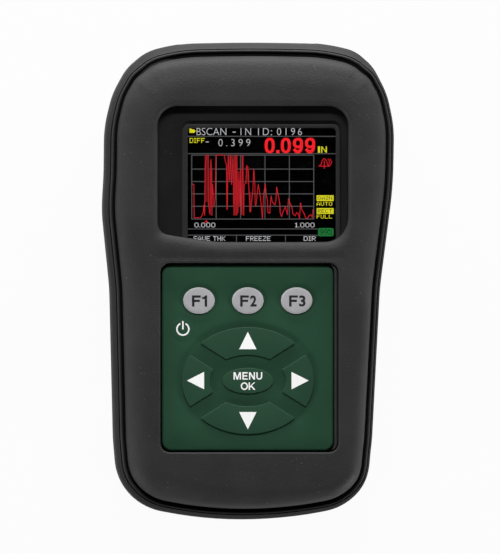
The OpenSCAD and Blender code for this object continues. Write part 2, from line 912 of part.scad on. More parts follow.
module display_foam() {
    color("#2a2a2a")
        translate([lcd_x, lcd_y, 0])
            difference() {
                slab(module_w, module_h, 0.6, z_glass, z_foam);
                slab(lcd_w + 0.6, lcd_h + 0.6, 0.4, z_glass - 1, z_foam + 1);
            }
}

module display_lens() {
    color("#30343a")
        translate([lcd_x, lcd_y, 0])
            slab(module_w, module_h, 0.6, z_foam, z_lens);
}

// Flat ribbon from the backlight frame down to its connector
module display_ribbon() {
    t = 0.25;
    y0 = lcd_y + module_h / 2;
    y1 = stand_top - 0.6;
    z1 = z_link + 2;
    color("#b07a2c")
        translate([lcd_x - 7, 0, 0])
            rotate([90, 0, 90])
                linear_extrude(14)
                    polygon([
                        [y0, z1 - t],
                        [y0 + 1.1 - t, z1 - t],
                        [y0 + 1.3 - t, z1 - t - 0.2],
                        [y0 + 1.3 - t, z_link + 0.6],
                        [y0 + 1.5 - t, z_link + 0.4],
                        [y1, z_link + 0.4],
                        [y1, z_link + 0.4 + t],
                        [y0 + 1.6 - t, z_link + 0.4 + t],
                        [y0 + 1.3, z_link + 0.7],
                        [y0 + 1.3, z1 - 0.2],
                        [y0 + 1.1, z1],
                        [y0, z1]
                    ]);
}

module board_link() {
    color("#e4e0d0")
        block(
            [-link_w / 2, -pad_drop - link_drop - link_l / 2, z_link],
            [link_w / 2, -pad_drop - link_drop + link_l / 2, z_pad_board]
        );
}

module keypad_board() {
    color("#1f5a3a")
        translate([0, -pad_drop, 0])
            slab(pad_w + 2 * flange_w, pad_l + 2 * flange_w, 1.5, z_pad_board, z_flange);
}

module keypad_mat() {
    color("#2a4a38")
        difference() {
            translate([0, -pad_drop, 0]) {
                slab(pad_w + 2 * flange_w, pad_l + 2 * flange_w, 1.5, z_flange, z_inner);
                slab(pad_w, pad_l, pad_r, z_inner - 0.1, z_pad);
            }
            for (key = key_set) {
                prism(inset(key[0], -key_gap), z_web, z_pad + 1);
                post(key[1], stem_d + 2 * stem_gap, z_flange - 1, z_web + 0.1);
            }
            // Moats round the function keys and round the arrow keys
            for (i = [0:2])
                prism(inset(key_set[i][0], -moat_w), z_pad - moat_d, z_pad + 1);
            prism(
                moved(ellipse(out_a + moat_w, out_b + moat_w, 48), [0, dpad_y]),
                z_pad - moat_d, z_pad + 1
            );
        }
}

// Key with a rounded top edge, standing proud of the keypad, and its stem
module key(i, proud) {
    z1 = z_pad + proud;
    loft(rings(key_set[i][0], [[0, z_key], [0, z1 - 0.35], [0.1, z1 - 0.1], [0.3, z1]]));
    post(key_set[i][1], stem_d, z_stem, z_key + 0.2);
}

module key_f1() {
    color("#a3a2a5")
        key(0, key_proud);
}

module key_f2() {
    color("#a3a2a5")
        key(1, key_proud);
}

module key_f3() {
    color("#a3a2a5")
        key(2, key_proud);
}

module key_power() {
    color("#2a4a38")
        key(3, 0);
}

module key_up() {
    color("#2b4b39")
        key(4, key_proud);
}

module key_down() {
    color("#2b4b39")
        key(5, key_proud);
}

module key_left() {
    color("#2b4b39")
        key(6, key_proud);
}

module key_right() {
    color("#2b4b39")
        key(7, key_proud);
}

module key_ok() {
    color("#2b4b39")
        key(8, key_proud);
}

// Threaded socket body under the edge of the main board
module socket(s) {
    x = s * socket_pitch / 2;
    color("#c4c0b4")
        difference() {
            union() {
                block(
                    [x - socket_w / 2, socket_y - socket_l, z_board - socket_h],
                    [x + socket_w / 2, socket_y, z_board]
                );
                shaft(x, z_axis, thread_d, socket_y - 0.1, nose_y);
            }
            shaft(x, z_axis, bore_d, nose_y - bore_l, nose_y + 1);
            shaft(x, z_axis, bore_d - 0.6, nose_y - bore_l - 2, nose_y - bore_l + 0.1);
        }
}

module transducer_socket_left() {
    socket(-1);
}

module transducer_socket_right() {
    socket(1);
}

// White insulators with a gold centre contact, at the bottom of the bores
module socket_contacts() {
    color("#d8b45a")
        for (s = [-1, 1])
            difference() {
                shaft(s * socket_pitch / 2, z_axis, bore_d - 0.7, nose_y - bore_l - 2, nose_y - bore_l);
                shaft(s * socket_pitch / 2, z_axis, 0.9, nose_y - bore_l - 1.4, nose_y);
            }
}

module socket_nuts() {
    color("#c9c9c9")
        for (s = [-1, 1])
            difference() {
                translate([s * socket_pitch / 2, panel_y, z_axis])
                    rotate([-90, 0, 0])
                        cylinder(d = nut_af / cos(30), h = nut_t, $fn = 6);
                shaft(s * socket_pitch / 2, z_axis, thread_d + thread_fit, panel_y - 1, nose_y + 1);
            }
}

// Shell of the data socket with its tongue
module data_socket() {
    wall = 0.35;
    color("#b9bcc0") {
        difference() {
            block([-data_w / 2, panel_y - data_l, z_board - data_h], [data_w / 2, panel_y, z_board]);
            block(
                [wall - data_w / 2, panel_y - data_l + 2, z_board - data_h + wall],
                [data_w / 2 - wall, panel_y + 1, z_board - wall]
            );
        }
        block(
            [-data_w * 0.3, panel_y - data_l + 1.9, z_board - data_h / 2 - 0.4],
            [data_w * 0.3, panel_y - 1, z_board - data_h / 2 + 0.4]
        );
    }
}

rear_case();
battery_contacts();
battery_springs();
battery_1();
battery_2();
battery_3();
battery_door_seal();
battery_door();
battery_door_screws();
case_seal();
main_board();
board_screws();
shield_can();
processor();
beeper();
transducer_socket_left();
transducer_socket_right();
socket_contacts();
socket_nuts();
data_socket();
display_frame();
display_panel();
display_foam();
display_lens();
display_ribbon();
board_link();
keypad_board();
keypad_mat();
key_f1();
key_f2();
key_f3();
key_power();
key_up();
key_down();
key_left();
key_right();
key_ok();
front_case();
case_screws();
rubber_boot();
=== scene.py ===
import math

import bmesh
import bpy
import numpy as np
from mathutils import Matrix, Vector
from mathutils.geometry import delaunay_2d_cdt


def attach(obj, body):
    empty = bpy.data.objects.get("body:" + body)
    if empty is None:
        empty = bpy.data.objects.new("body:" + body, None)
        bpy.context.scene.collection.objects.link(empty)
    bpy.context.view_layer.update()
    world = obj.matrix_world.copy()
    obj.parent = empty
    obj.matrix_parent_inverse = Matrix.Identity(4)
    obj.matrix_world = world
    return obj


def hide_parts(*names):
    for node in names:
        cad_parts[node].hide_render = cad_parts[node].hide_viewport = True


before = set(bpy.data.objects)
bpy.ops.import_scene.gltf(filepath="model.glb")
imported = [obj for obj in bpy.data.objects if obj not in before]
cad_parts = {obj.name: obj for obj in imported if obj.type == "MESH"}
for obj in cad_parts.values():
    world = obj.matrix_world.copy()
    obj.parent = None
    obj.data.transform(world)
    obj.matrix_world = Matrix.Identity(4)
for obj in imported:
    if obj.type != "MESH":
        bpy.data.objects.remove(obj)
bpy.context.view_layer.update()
bpy.context.scene.view_settings.view_transform = "Standard"


# Rear half of the case. It is moulded in black plastic with a fine spark-eroded texture, and
# carries the battery bay. Everything else is stacked on it from behind.
def add_node(tree, kind, settings=None, **inputs):
    """Adds a shader node with its settings and the plain values of its inputs."""
    made = tree.nodes.new(kind)
    for key, value in (settings or {}).items():
        setattr(made, key, value)
    for key, value in inputs.items():
        made.inputs[key.replace("_", " ")].default_value = value
    return made


def wire(tree, source, output, target, entry):
    """Links a node's output to another node's input."""
    tree.links.new(source.outputs[output], target.inputs[entry])


def effect_group(name, inputs, outputs):
    """Starts a shader group with named float sockets, and gives its tree and its two ends."""
    tree = bpy.data.node_groups.new(name, "ShaderNodeTree")
    for label, value in inputs.items():
        socket = tree.interface.new_socket(label, in_out="INPUT", socket_type="NodeSocketFloat")
        socket.default_value = value
    for label in outputs:
        tree.interface.new_socket(label, in_out="OUTPUT", socket_type="NodeSocketFloat")
    return tree, tree.nodes.new("NodeGroupInput"), tree.nodes.new("NodeGroupOutput")


def mould_grain_group():
    """Fine pebble of a textured mould: a height that changes over the surface."""
    tree, start, end = effect_group("mould_grain", {"Scale": 2500.0}, ["Height"])
    coords = add_node(tree, "ShaderNodeTexCoord")
    noise = add_node(tree, "ShaderNodeTexNoise", Detail=3.0, Roughness=0.62)
    cells = add_node(tree, "ShaderNodeTexVoronoi", {"feature": "SMOOTH_F1"})
    both = add_node(tree, "ShaderNodeMath", {"operation": "MULTIPLY_ADD"})
    both.inputs[1].default_value = 0.6
    for texture in (noise, cells):
        wire(tree, coords, "Object", texture, "Vector")
        wire(tree, start, "Scale", texture, "Scale")
    wire(tree, cells, "Distance", both, 0)
    wire(tree, noise, "Fac", both, 2)
    wire(tree, both, 0, end, "Height")
    return tree


def tone_drift_group():
    """Slow change of tone and gloss over a moulding, from 0 to 1."""
    tree, start, end = effect_group("tone_drift", {"Scale": 60.0}, ["Value"])
    coords = add_node(tree, "ShaderNodeTexCoord")
    noise = add_node(tree, "ShaderNodeTexNoise", Detail=5.0, Roughness=0.6)
    spread = add_node(tree, "ShaderNodeMapRange", From_Min=0.3, From_Max=0.7)
    wire(tree, coords, "Object", noise, "Vector")
    wire(tree, start, "Scale", noise, "Scale")
    wire(tree, noise, "Fac", spread, "Value")
    wire(tree, spread, "Result", end, "Value")
    return tree


def dust_specks_group():
    """Sparse pale specks of dust and lint: a mask."""
    tree, start, end = effect_group("dust_specks", {"Scale": 700.0, "Size": 0.12}, ["Mask"])
    coords = add_node(tree, "ShaderNodeTexCoord")
    cells = add_node(tree, "ShaderNodeTexVoronoi")
    small = add_node(tree, "ShaderNodeMath", {"operation": "LESS_THAN"})
    patches = add_node(tree, "ShaderNodeTexNoise", Scale=240.0, Detail=2.0)
    some = add_node(tree, "ShaderNodeMapRange", From_Min=0.52, From_Max=0.68)
    both = add_node(tree, "ShaderNodeMath", {"operation": "MULTIPLY"})
    wire(tree, coords, "Object", cells, "Vector")
    wire(tree, coords, "Object", patches, "Vector")
    wire(tree, start, "Scale", cells, "Scale")
    wire(tree, cells, "Distance", small, 0)
    wire(tree, start, "Size", small, 1)
    wire(tree, patches, "Fac", some, "Value")
    wire(tree, small, 0, both, 0)
    wire(tree, some, "Result", both, 1)
    wire(tree, both, 0, end, "Mask")
    return tree


mould_grain = mould_grain_group()
tone_drift = tone_drift_group()
dust_specks = dust_specks_group()
dust_grey = (0.30, 0.30, 0.29, 1)


def place_group(tree, group, **inputs):
    return add_node(tree, "ShaderNodeGroup", {"node_tree": group}, **inputs)


def new_material(name):
    """Starts a material, and gives it with its tree and its main shader."""
    material = bpy.data.materials.new(name)
    material.use_nodes = True
    tree = material.node_tree
    return material, tree, tree.nodes["Principled BSDF"]


def moulded(name, dark, light, roughness, grain, depth, dust=0.0, drift=60.0, specular=0.5):
    """Moulded plastic or rubber: two tones that drift, a grain of so many per metre, and dust."""
    material, tree, shader = new_material(name)
    shader.inputs["Specular IOR Level"].default_value = specular
    tone = place_group(tree, tone_drift, Scale=drift)
    colour = add_node(tree, "ShaderNodeMix", {"data_type": "RGBA"})
    colour.inputs["A"].default_value = (*dark, 1)
    colour.inputs["B"].default_value = (*light, 1)
    wire(tree, tone, "Value", colour, "Factor")
    last = colour.outputs["Result"]
    if dust:
        specks = place_group(tree, dust_specks)
        faint = add_node(tree, "ShaderNodeMath", {"operation": "MULTIPLY"})
        faint.inputs[1].default_value = dust
        dusty = add_node(tree, "ShaderNodeMix", {"data_type": "RGBA"})
        dusty.inputs["B"].default_value = dust_grey
        wire(tree, specks, "Mask", faint, 0)
        wire(tree, faint, 0, dusty, "Factor")
        tree.links.new(last, dusty.inputs["A"])
        last = dusty.outputs["Result"]
    tree.links.new(last, shader.inputs["Base Color"])
    gloss = add_node(tree, "ShaderNodeMapRange", To_Min=roughness[0], To_Max=roughness[1])
    wire(tree, tone, "Value", gloss, "Value")
    wire(tree, gloss, "Result", shader, "Roughness")
    pebble = place_group(tree, mould_grain, Scale=grain)
    bump = add_node(tree, "ShaderNodeBump", Strength=1.0, Distance=depth)
    wire(tree, pebble, "Height", bump, "Height")
    wire(tree, bump, "Normal", shader, "Normal")
    return material


def dress(node, material):
    """Gives a CAD node its finish."""
    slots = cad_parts[node].data.materials
    slots.clear()
    slots.append(material)


case_plastic = moulded("case_plastic", (0.0070, 0.0070, 0.0073), (0.0105, 0.0105, 0.011),
                       (0.48, 0.6), 2600, 3e-5, dust=0.12, specular=0.12)
dress("rear_case", case_plastic)


# Contact plates and coil springs of the battery bay. Both are plated steel: the plates are stamped
# and slid into slots of the bay, and the springs are wound from wire and clinched on them.
def plated(name, colour, roughness, grain=(900, 900, 900)):
    """Plated metal with fine draw lines that change its gloss."""
    material, tree, shader = new_material(name)
    shader.inputs["Base Color"].default_value = (*colour, 1)
    shader.inputs["Metallic"].default_value = 1.0
    coords = add_node(tree, "ShaderNodeTexCoord")
    stretch = add_node(tree, "ShaderNodeMapping")
    stretch.inputs["Scale"].default_value = grain
    lines = add_node(tree, "ShaderNodeTexNoise", Scale=1.0, Detail=4.0)
    gloss = add_node(tree, "ShaderNodeMapRange", To_Min=roughness[0], To_Max=roughness[1])
    bump = add_node(tree, "ShaderNodeBump", Strength=0.4, Distance=1e-5)
    wire(tree, coords, "Object", stretch, "Vector")
    wire(tree, stretch, "Vector", lines, "Vector")
    wire(tree, lines, "Fac", gloss, "Value")
    wire(tree, lines, "Fac", bump, "Height")
    wire(tree, gloss, "Result", shader, "Roughness")
    wire(tree, bump, "Normal", shader, "Normal")
    return material


bright_steel = plated("bright_steel", (0.44, 0.44, 0.43), (0.26, 0.46), (300, 4000, 300))
dress("battery_contacts", bright_steel)
dress("battery_springs", bright_steel)


# Three AA cells in plain jackets. Each is a drawn steel can in a shrunk plastic film, and they lie
# side by side between the springs and the plates.
cell_jacket = moulded("cell_jacket", (0.10, 0.125, 0.055), (0.15, 0.18, 0.08),
                      (0.25, 0.4), 900, 5e-6)
for number in (1, 2, 3):
    dress(f"battery_{number}", cell_jacket)


# Battery door with its flat seal. The door is moulded like the case, hooks in by two tongues and is
# held by two cross-head screws; the seal is a rubber frame that it presses on the bay's rim.
seal_rubber = moulded("seal_rubber", (0.075, 0.075, 0.073), (0.12, 0.12, 0.117),
                      (0.6, 0.75), 1800, 1e-5)
door_plastic = moulded("door_plastic", (0.010, 0.010, 0.0104), (0.0155, 0.0155, 0.016),
                       (0.5, 0.62), 2400, 2.4e-5, dust=0.2)
dress("battery_door_seal", seal_rubber)
dress("battery_door", door_plastic)
dress("battery_door_screws", bright_steel)


# Cord seal of the case: a soft rubber ring that lies in a groove of the rear half's edge.
# It is squeezed when the halves are screwed together.
dress("case_seal", seal_rubber)


# Main board with its largest parts, under four small screws. The board is glass-fibre laminate with
# green solder mask, the can is drawn tinplate, and the chip and the beeper are moulded.
board_mask = moulded("board_mask", (0.006, 0.07, 0.03), (0.012, 0.11, 0.05),
                     (0.25, 0.4), 1200, 1.5e-5, drift=500)
chip_black = moulded("chip_black", (0.010, 0.010, 0.011), (0.016, 0.016, 0.017),
                     (0.45, 0.6), 3000, 1e-5)
dress("main_board", board_mask)
dress("board_screws", bright_steel)
dress("shield_can", plated("tinplate", (0.62, 0.62, 0.61), (0.25, 0.45), (2000, 200, 200)))
dress("processor", chip_black)
dress("beeper", chip_black)


# Sockets in the top end. The two transducer sockets are turned brass with nickel plating, each held
# in the case by a hexagon nut, with a gold contact; the data socket is a folded steel shell.
nickel = plated("nickel", (0.42, 0.395, 0.355), (0.2, 0.38), (400, 5000, 400))
dress("transducer_socket_left", nickel)
dress("transducer_socket_right", nickel)
dress("socket_nuts", plated("nut_nickel", (0.37, 0.355, 0.33), (0.28, 0.46), (3000, 300, 3000)))
dress("socket_contacts", plated("contact_gold", (0.62, 0.40, 0.11), (0.2, 0.34)))
dress("data_socket", bright_steel)


# Display: a colour panel in its backlight frame, with a foam gasket, a clear lens bonded behind the
# case's front, and a ribbon to the main board. All sizes are millimetres in the gauge's frame.
mm = 0.001
lcd_left, lcd_top = -17.35, 44.9
z_glass = 31.9
ink_t = 0.02
frame_plastic = moulded("frame_plastic", (0.58, 0.57, 0.50), (0.68, 0.66, 0.58),
                        (0.4, 0.5), 1500, 1e-5)
dress("display_frame", frame_plastic)
dress("display_foam", moulded("foam_black", (0.012, 0.012, 0.012), (0.02, 0.02, 0.02),
                              (0.8, 0.95), 4000, 8e-5))
dress("display_ribbon", moulded("ribbon_film", (0.30, 0.13, 0.02), (0.38, 0.18, 0.03),
                                (0.25, 0.4), 900, 5e-6))
dress("display_panel", moulded("panel_black", (0.0008, 0.0008, 0.0009), (0.0012, 0.0012, 0.0013),
                               (0.4, 0.46), 5000, 1e-6, specular=0.012))

lens_clear, lens_tree, lens_shader = new_material("lens_clear")
lens_shader.inputs["Base Color"].default_value = (0.97, 0.98, 0.98, 1)
lens_shader.inputs["Transmission Weight"].default_value = 1.0
lens_shader.inputs["IOR"].default_value = 1.08
lens_smear = place_group(lens_tree, tone_drift, Scale=90.0)
lens_gloss = add_node(lens_tree, "ShaderNodeMapRange", To_Min=0.0, To_Max=0.02)
wire(lens_tree, lens_smear, "Value", lens_gloss, "Value")
wire(lens_tree, lens_gloss, "Result", lens_shader, "Roughness")
dress("display_lens", lens_clear)


def lit(name, colour):
    """Lit dots of the display, which flicker a little in strength from dot to dot."""
    faintest = 0.86
    material, tree, shader = new_material(name)
    shader.inputs["Base Color"].default_value = (0.002, 0.002, 0.002, 1)
    shader.inputs["Specular IOR Level"].default_value = 0.05
    shader.inputs["Emission Strength"].default_value = 1.0
    tone = place_group(tree, tone_drift, Scale=1800.0)
    glow = add_node(tree, "ShaderNodeMix", {"data_type": "RGBA"})
    glow.inputs["A"].default_value = (*[c * faintest for c in colour], 1)
    glow.inputs["B"].default_value = (*colour, 1)
    wire(tree, tone, "Value", glow, "Factor")
    wire(tree, glow, "Result", shader, "Emission Color")
    return material


def add_slab(bm, points, z):
    """Adds a thin solid over a flat outline."""
    low = [bm.verts.new((x, y, z)) for x, y in points]
    high = [bm.verts.new((x, y, z + ink_t)) for x, y in points]
    bm.faces.new(high)
    bm.faces.new(low[::-1])
    for i in range(len(points)):
        k = (i + 1) % len(points)
        bm.faces.new((low[i], low[k], high[k], high[i]))


def add_block(bm, left, top, right, bottom, z):
    add_slab(bm, [(left, bottom), (right, bottom), (right, top), (left, top)], z)


def add_stroke(bm, points, width, z):
    """Adds a drawn line: one thin solid for each stretch, a little longer than the stretch."""
    for (x0, y0), (x1, y1) in zip(points, points[1:]):
        length = math.hypot(x1 - x0, y1 - y0)
        ux, uy = (x1 - x0) / length * width / 2, (y1 - y0) / length * width / 2
        add_slab(bm, [(x0 - ux + uy, y0 - uy - ux), (x1 + ux + uy, y1 + uy - ux),
                      (x1 + ux - uy, y1 + uy + ux), (x0 - ux - uy, y0 - uy + ux)], z)


def new_piece(name, bm, material, sharp_from=None):
    """Makes an object of a mesh in millimetres: flat, or smooth with edges from an angle left sharp."""
    bmesh.ops.remove_doubles(bm, verts=bm.verts, dist=1e-5)
    bmesh.ops.recalc_face_normals(bm, faces=bm.faces)
    bmesh.ops.scale(bm, vec=(mm, mm, mm), verts=bm.verts)
    mesh = bpy.data.meshes.new(name)
    bm.to_mesh(mesh)
    bm.free()
    if sharp_from is not None:
        mesh.shade_smooth()
        mesh.set_sharp_from_angle(angle=math.radians(sharp_from))
    mesh.materials.append(material)
    made = bpy.data.objects.new(name, mesh)
    bpy.context.scene.collection.objects.link(made)
    return made


dot_letters = {
    "A": "00100/01010/10001/10001/11111/10001/10001", "C": "01110/10001/10000/10000/10000/10001/01110",
    "D": "11110/10001/10001/10001/10001/10001/11110", "E": "11111/10000/10000/11110/10000/10000/11111",
    "F": "11111/10000/10000/11110/10000/10000/10000", "G": "01110/10001/10000/10111/10001/10001/01110",
    "H": "10001/10001/10001/11111/10001/10001/10001", "I": "111/010/010/010/010/010/111",
    "K": "10001/10010/10100/11000/10100/10010/10001", "L": "10000/10000/10000/10000/10000/10000/11111",
    "N": "10001/11001/11001/10101/10011/10011/10001", "O": "01110/10001/10001/10001/10001/10001/01110",
    "R": "11110/10001/10001/11110/10100/10010/10001", "S": "01111/10000/10000/01110/00001/00001/11110",
    "T": "11111/00100/00100/00100/00100/00100/00100", "U": "10001/10001/10001/10001/10001/10001/01110",
    "V": "10001/10001/10001/10001/10001/01010/00100", "Z": "11111/00001/00010/00100/01000/10000/11111",
    "0": "01110/10001/10001/10001/10001/10001/01110", "1": "010/110/010/010/010/010/111",
    "9": "01110/10001/10001/01111/00001/00010/01100", "|": "11/11/11/11/11/11/11", ".": "0/0/0/0/0/0/1",
    "%": "11001/11001/00010/00100/01000/10011/10011", " ": "00/00/00/00/00/00/00",
}
dot_rows = 7
dot_fill = 0.94
dot_gap = 1


def on_screen(u, v):
    """A place on the display, from its top left corner."""
    return lcd_left + u, lcd_top - v


def dot_words(bm, words, u, v, width, height, z=z_glass):
    """Adds lettering of lit dots that fills a box on the display: a thin solid for each run of dots."""
    cells = [dot_letters[c].split("/") for c in words]
    columns = sum(len(cell[0]) + dot_gap for cell in cells) - dot_gap
    pitch_u, pitch_v = width / columns, height / dot_rows
    at = 0
    for cell in cells:
        for row, dots in enumerate(cell):
            start = None
            for i, dot in enumerate(dots + "0"):
                if dot == "1" and start is None:
                    start = i
                elif dot == "0" and start is not None:
                    x0, y0 = on_screen(u + (at + start) * pitch_u, v + row * pitch_v)
                    x1, y1 = on_screen(u + (at + i + dot_fill - 1) * pitch_u,
                                       v + (row + dot_fill) * pitch_v)
                    add_block(bm, x0, y0, x1, y1, z)
                    start = None
        at += len(cell[0]) + dot_gap


def screen_line(bm, points, width, z=z_glass):
    add_stroke(bm, [on_screen(*p) for p in points], width, z)


def screen_block(bm, left, top, right, bottom, z=z_glass):
    add_block(bm, *on_screen(left, top), *on_screen(right, bottom), z)


def font_words(bm, words, left, top, width, height, z, weight, gap=1.0):
    """Adds lettering of the built-in typeface that fills a box, as a thin solid on the face at z."""
    curve = bpy.data.curves.new("words", "FONT")
    curve.body = words
    curve.offset = weight
    curve.space_character = gap
    curve.resolution_u = 4
    curve.extrude = 0.01
    curve.fill_mode = "BOTH"
    text = bpy.data.objects.new("words", curve)
    bpy.context.scene.collection.objects.link(text)
    bpy.context.view_layer.update()
    mesh = bpy.data.meshes.new_from_object(text.evaluated_get(bpy.context.evaluated_depsgraph_get()))
    spots = np.array([v.co for v in mesh.vertices])
    low, high = spots.min(0), spots.max(0)
    for v in mesh.vertices:
        share = [(v.co[i] - low[i]) / (high[i] - low[i]) for i in range(3)]
        v.co = (left + share[0] * width, top - height + share[1] * height, z + share[2] * ink_t)
    bm.from_mesh(mesh)
    bpy.data.objects.remove(text)
    bpy.data.curves.remove(curve)
    bpy.data.meshes.remove(mesh)


white_dots = bmesh.new()
title_v, title_h = 0.78, 2.1
value_v, value_h = 4.0, 2.05
small_h = 1.35
thin = -0.012
for words, u, width, spread in (("BSCAN", 2.75, 8.6, 1.0), ("IN", 15.45, 3.0, 1.5),
                                ("ID", 20.5, 3.1, 1.5), ("0196", 25.95, 7.2, 1.4)):
    font_words(white_dots, words, *on_screen(u, title_v), width, title_h, z_glass, thin, spread)
# The title's dash and colon, and the dash before the value: left, top, right and bottom
for box in ((13.15, 1.85, 14.05, 2.1), (24.2, 1.45, 24.5, 1.73), (24.2, 2.6, 24.5, 2.88),
            (5.4, 4.7, 6.25, 4.95)):
    screen_block(white_dots, *box)
font_words(white_dots, "0.399", *on_screen(9.05, value_v), 9.2, value_h, z_glass, thin, 1.5)
for words, u, v, width in (("0.000", 2.15, 28.1, 6.0), ("1.000", 31.2, 28.1, 5.6),
                           ("SAVE THK", 1.85, 32.0, 9.2), ("FREEZE", 17.0, 32.0, 7.1),
                           ("DIR", 33.65, 32.0, 3.5)):
    dot_words(white_dots, words, u, v, width, small_h)
white_words = new_piece("display_white_words", white_dots, lit("lit_white", (0.50, 0.50, 0.52)))

yellow_dots = bmesh.new()
dot_words(yellow_dots, "DIFF", 0.75, 3.7, 4.4, 1.4)
dot_words(yellow_dots, "|N", 37.75, 6.1, 2.6, 1.85)
folder = [(0.7, 1.0), (0.7, 2.2), (2.1, 2.2), (2.55, 1.5), (2.2, 1.5), (2.1, 1.2), (1.4, 1.2),
          (1.2, 0.95)]
add_slab(yellow_dots, [on_screen(*p) for p in folder], z_glass)
block_left, block_right, block_h = 37.4, 42.3, 1.65
under_gap, under_w, under_h = 0.25, 4.5, 1.1
status_rows = ((20.2, "GAIN", "AUTO"), (23.9, "RECT", "FULL"))
for row, _, words in status_rows:
    screen_block(yellow_dots, block_left, row, block_right, row + block_h)
    dot_words(yellow_dots, words, block_left, row + block_h + under_gap, under_w, under_h)
yellow_words = new_piece("display_yellow_words", yellow_dots, lit("lit_yellow", (0.74, 0.70, 0.02)))

green_dots = bmesh.new()
badge_left, badge_top, badge_right, badge_foot = 37.8, 29.65, 42.3, 32.0
badge_cut = 0.35
badge_shape = [(badge_left + badge_cut, badge_top), (badge_left, badge_top + badge_cut),
               (badge_left, badge_foot - badge_cut), (badge_left + badge_cut, badge_foot),
               (badge_right - badge_cut, badge_foot), (badge_right, badge_foot - badge_cut),
               (badge_right, badge_top + badge_cut), (badge_right - badge_cut, badge_top)]
add_slab(green_dots, [on_screen(*p) for p in badge_shape], z_glass)
badge = new_piece("display_badge", green_dots, lit("lit_green", (0.012, 0.17, 0.04)))

dark_dots = bmesh.new()
z_over = z_glass + ink_t
head_in, head_w, head_h = 0.3, 4.2, 1.05
for row, head, _ in status_rows:
    dot_words(dark_dots, head, block_left + head_in, row + head_in, head_w, head_h, z_over)
level_in, level_drop, level_w, level_h = 0.5, 0.4, 3.5, 1.6
dot_words(dark_dots, "99%", badge_left + level_in, badge_top + level_drop, level_w, level_h, z_over)
dark_words = new_piece("display_dark_words", dark_dots, lit("lit_dark", (0.01, 0.012, 0.002)))


def squircle(a, b, at, start, end, n, power=2.5):
    """Points along a rounded-off oval, from one angle to another in degrees."""
    out = []
    for k in range(n + 1):
        t = math.radians(start + (end - start) * k / n)
        c, s = math.cos(t), math.sin(t)
        out.append((at[0] + a * math.copysign(abs(c) ** (2 / power), c),
                    at[1] + b * math.copysign(abs(s) ** (2 / power), s)))
    return out


def add_band(bm, outer, inner, z):
    """Adds a thin flat band between two open arcs that run the same way."""
    add_slab(bm, outer + inner[::-1], z)


bowl_from, bowl_points = 0.3, 48


def add_bowl(bm, outer, hollow, at):
    """Adds the round of a digit, open by a hair so that its band is one outline."""
    arcs = [squircle(a, b, at, bowl_from, 360, bowl_points) for a, b in (outer, hollow)]
    add_band(bm, *arcs, z_glass)


reading_dots = bmesh.new()
digit_a, digit_b, digit_step = 1.45, 2.2, 3.5
zero_hollow = (0.57, 1.48)
nine_b, nine_hollow = 1.48, (0.58, 0.76)
nine_tail = [(1.01, 0.6), (0.99, -0.5), (0.82, -1.15), (0.45, -1.6), (0.0, -1.76), (-0.5, -1.68),
             (-0.88, -1.3)]
tail_w = 0.86
reading_u, reading_v = 23.85, 5.85
point_u, point_room, point_size = 26.2, 1.15, 0.9
for k, digit in enumerate("0099"):
    x, y = on_screen(reading_u + k * digit_step + (point_room if k else 0.0), reading_v)
    if digit == "0":
        add_bowl(reading_dots, (digit_a, digit_b), zero_hollow, (x, y))
    else:
        add_bowl(reading_dots, (digit_a, nine_b), nine_hollow, (x, y + digit_b - nine_b))
        add_stroke(reading_dots, [(x + across, y + up) for across, up in nine_tail], tail_w, z_glass)
x, y = on_screen(point_u, reading_v + digit_b)
add_block(reading_dots, x - point_size / 2, y + point_size, x + point_size / 2, y, z_glass)
reading = new_piece("display_reading", reading_dots, lit("lit_red", (0.93, 0.016, 0.022)))

grid_dots = bmesh.new()
grid_left, grid_step, grid_count = 1.36, 7.04, 6
grid_u = [grid_left + grid_step * i for i in range(grid_count)]
grid_v = [8.62, 12.64, 16.24, 19.79, 23.37, 27.05]
grid_line = 0.22
for u in grid_u:
    screen_line(grid_dots, [(u, grid_v[0]), (u, grid_v[-1])], grid_line)
for v in grid_v:
    screen_line(grid_dots, [(grid_u[0], v), (grid_u[-1], v)], grid_line)
rule_left = 0.15
for v, end in ((3.2, 42.8), (8.2, 42.8), (29.9, 37.6), (31.7, 37.6)):
    screen_line(grid_dots, [(rule_left, v), (end, v)], grid_line)
divider_top, divider_foot = 31.7, 33.6
for u in (14.25, 28.4):
    screen_line(grid_dots, [(u, divider_top), (u, divider_foot)], grid_line)
grid_lines = new_piece("display_grid", grid_dots, lit("lit_grey", (0.085, 0.085, 0.088)))

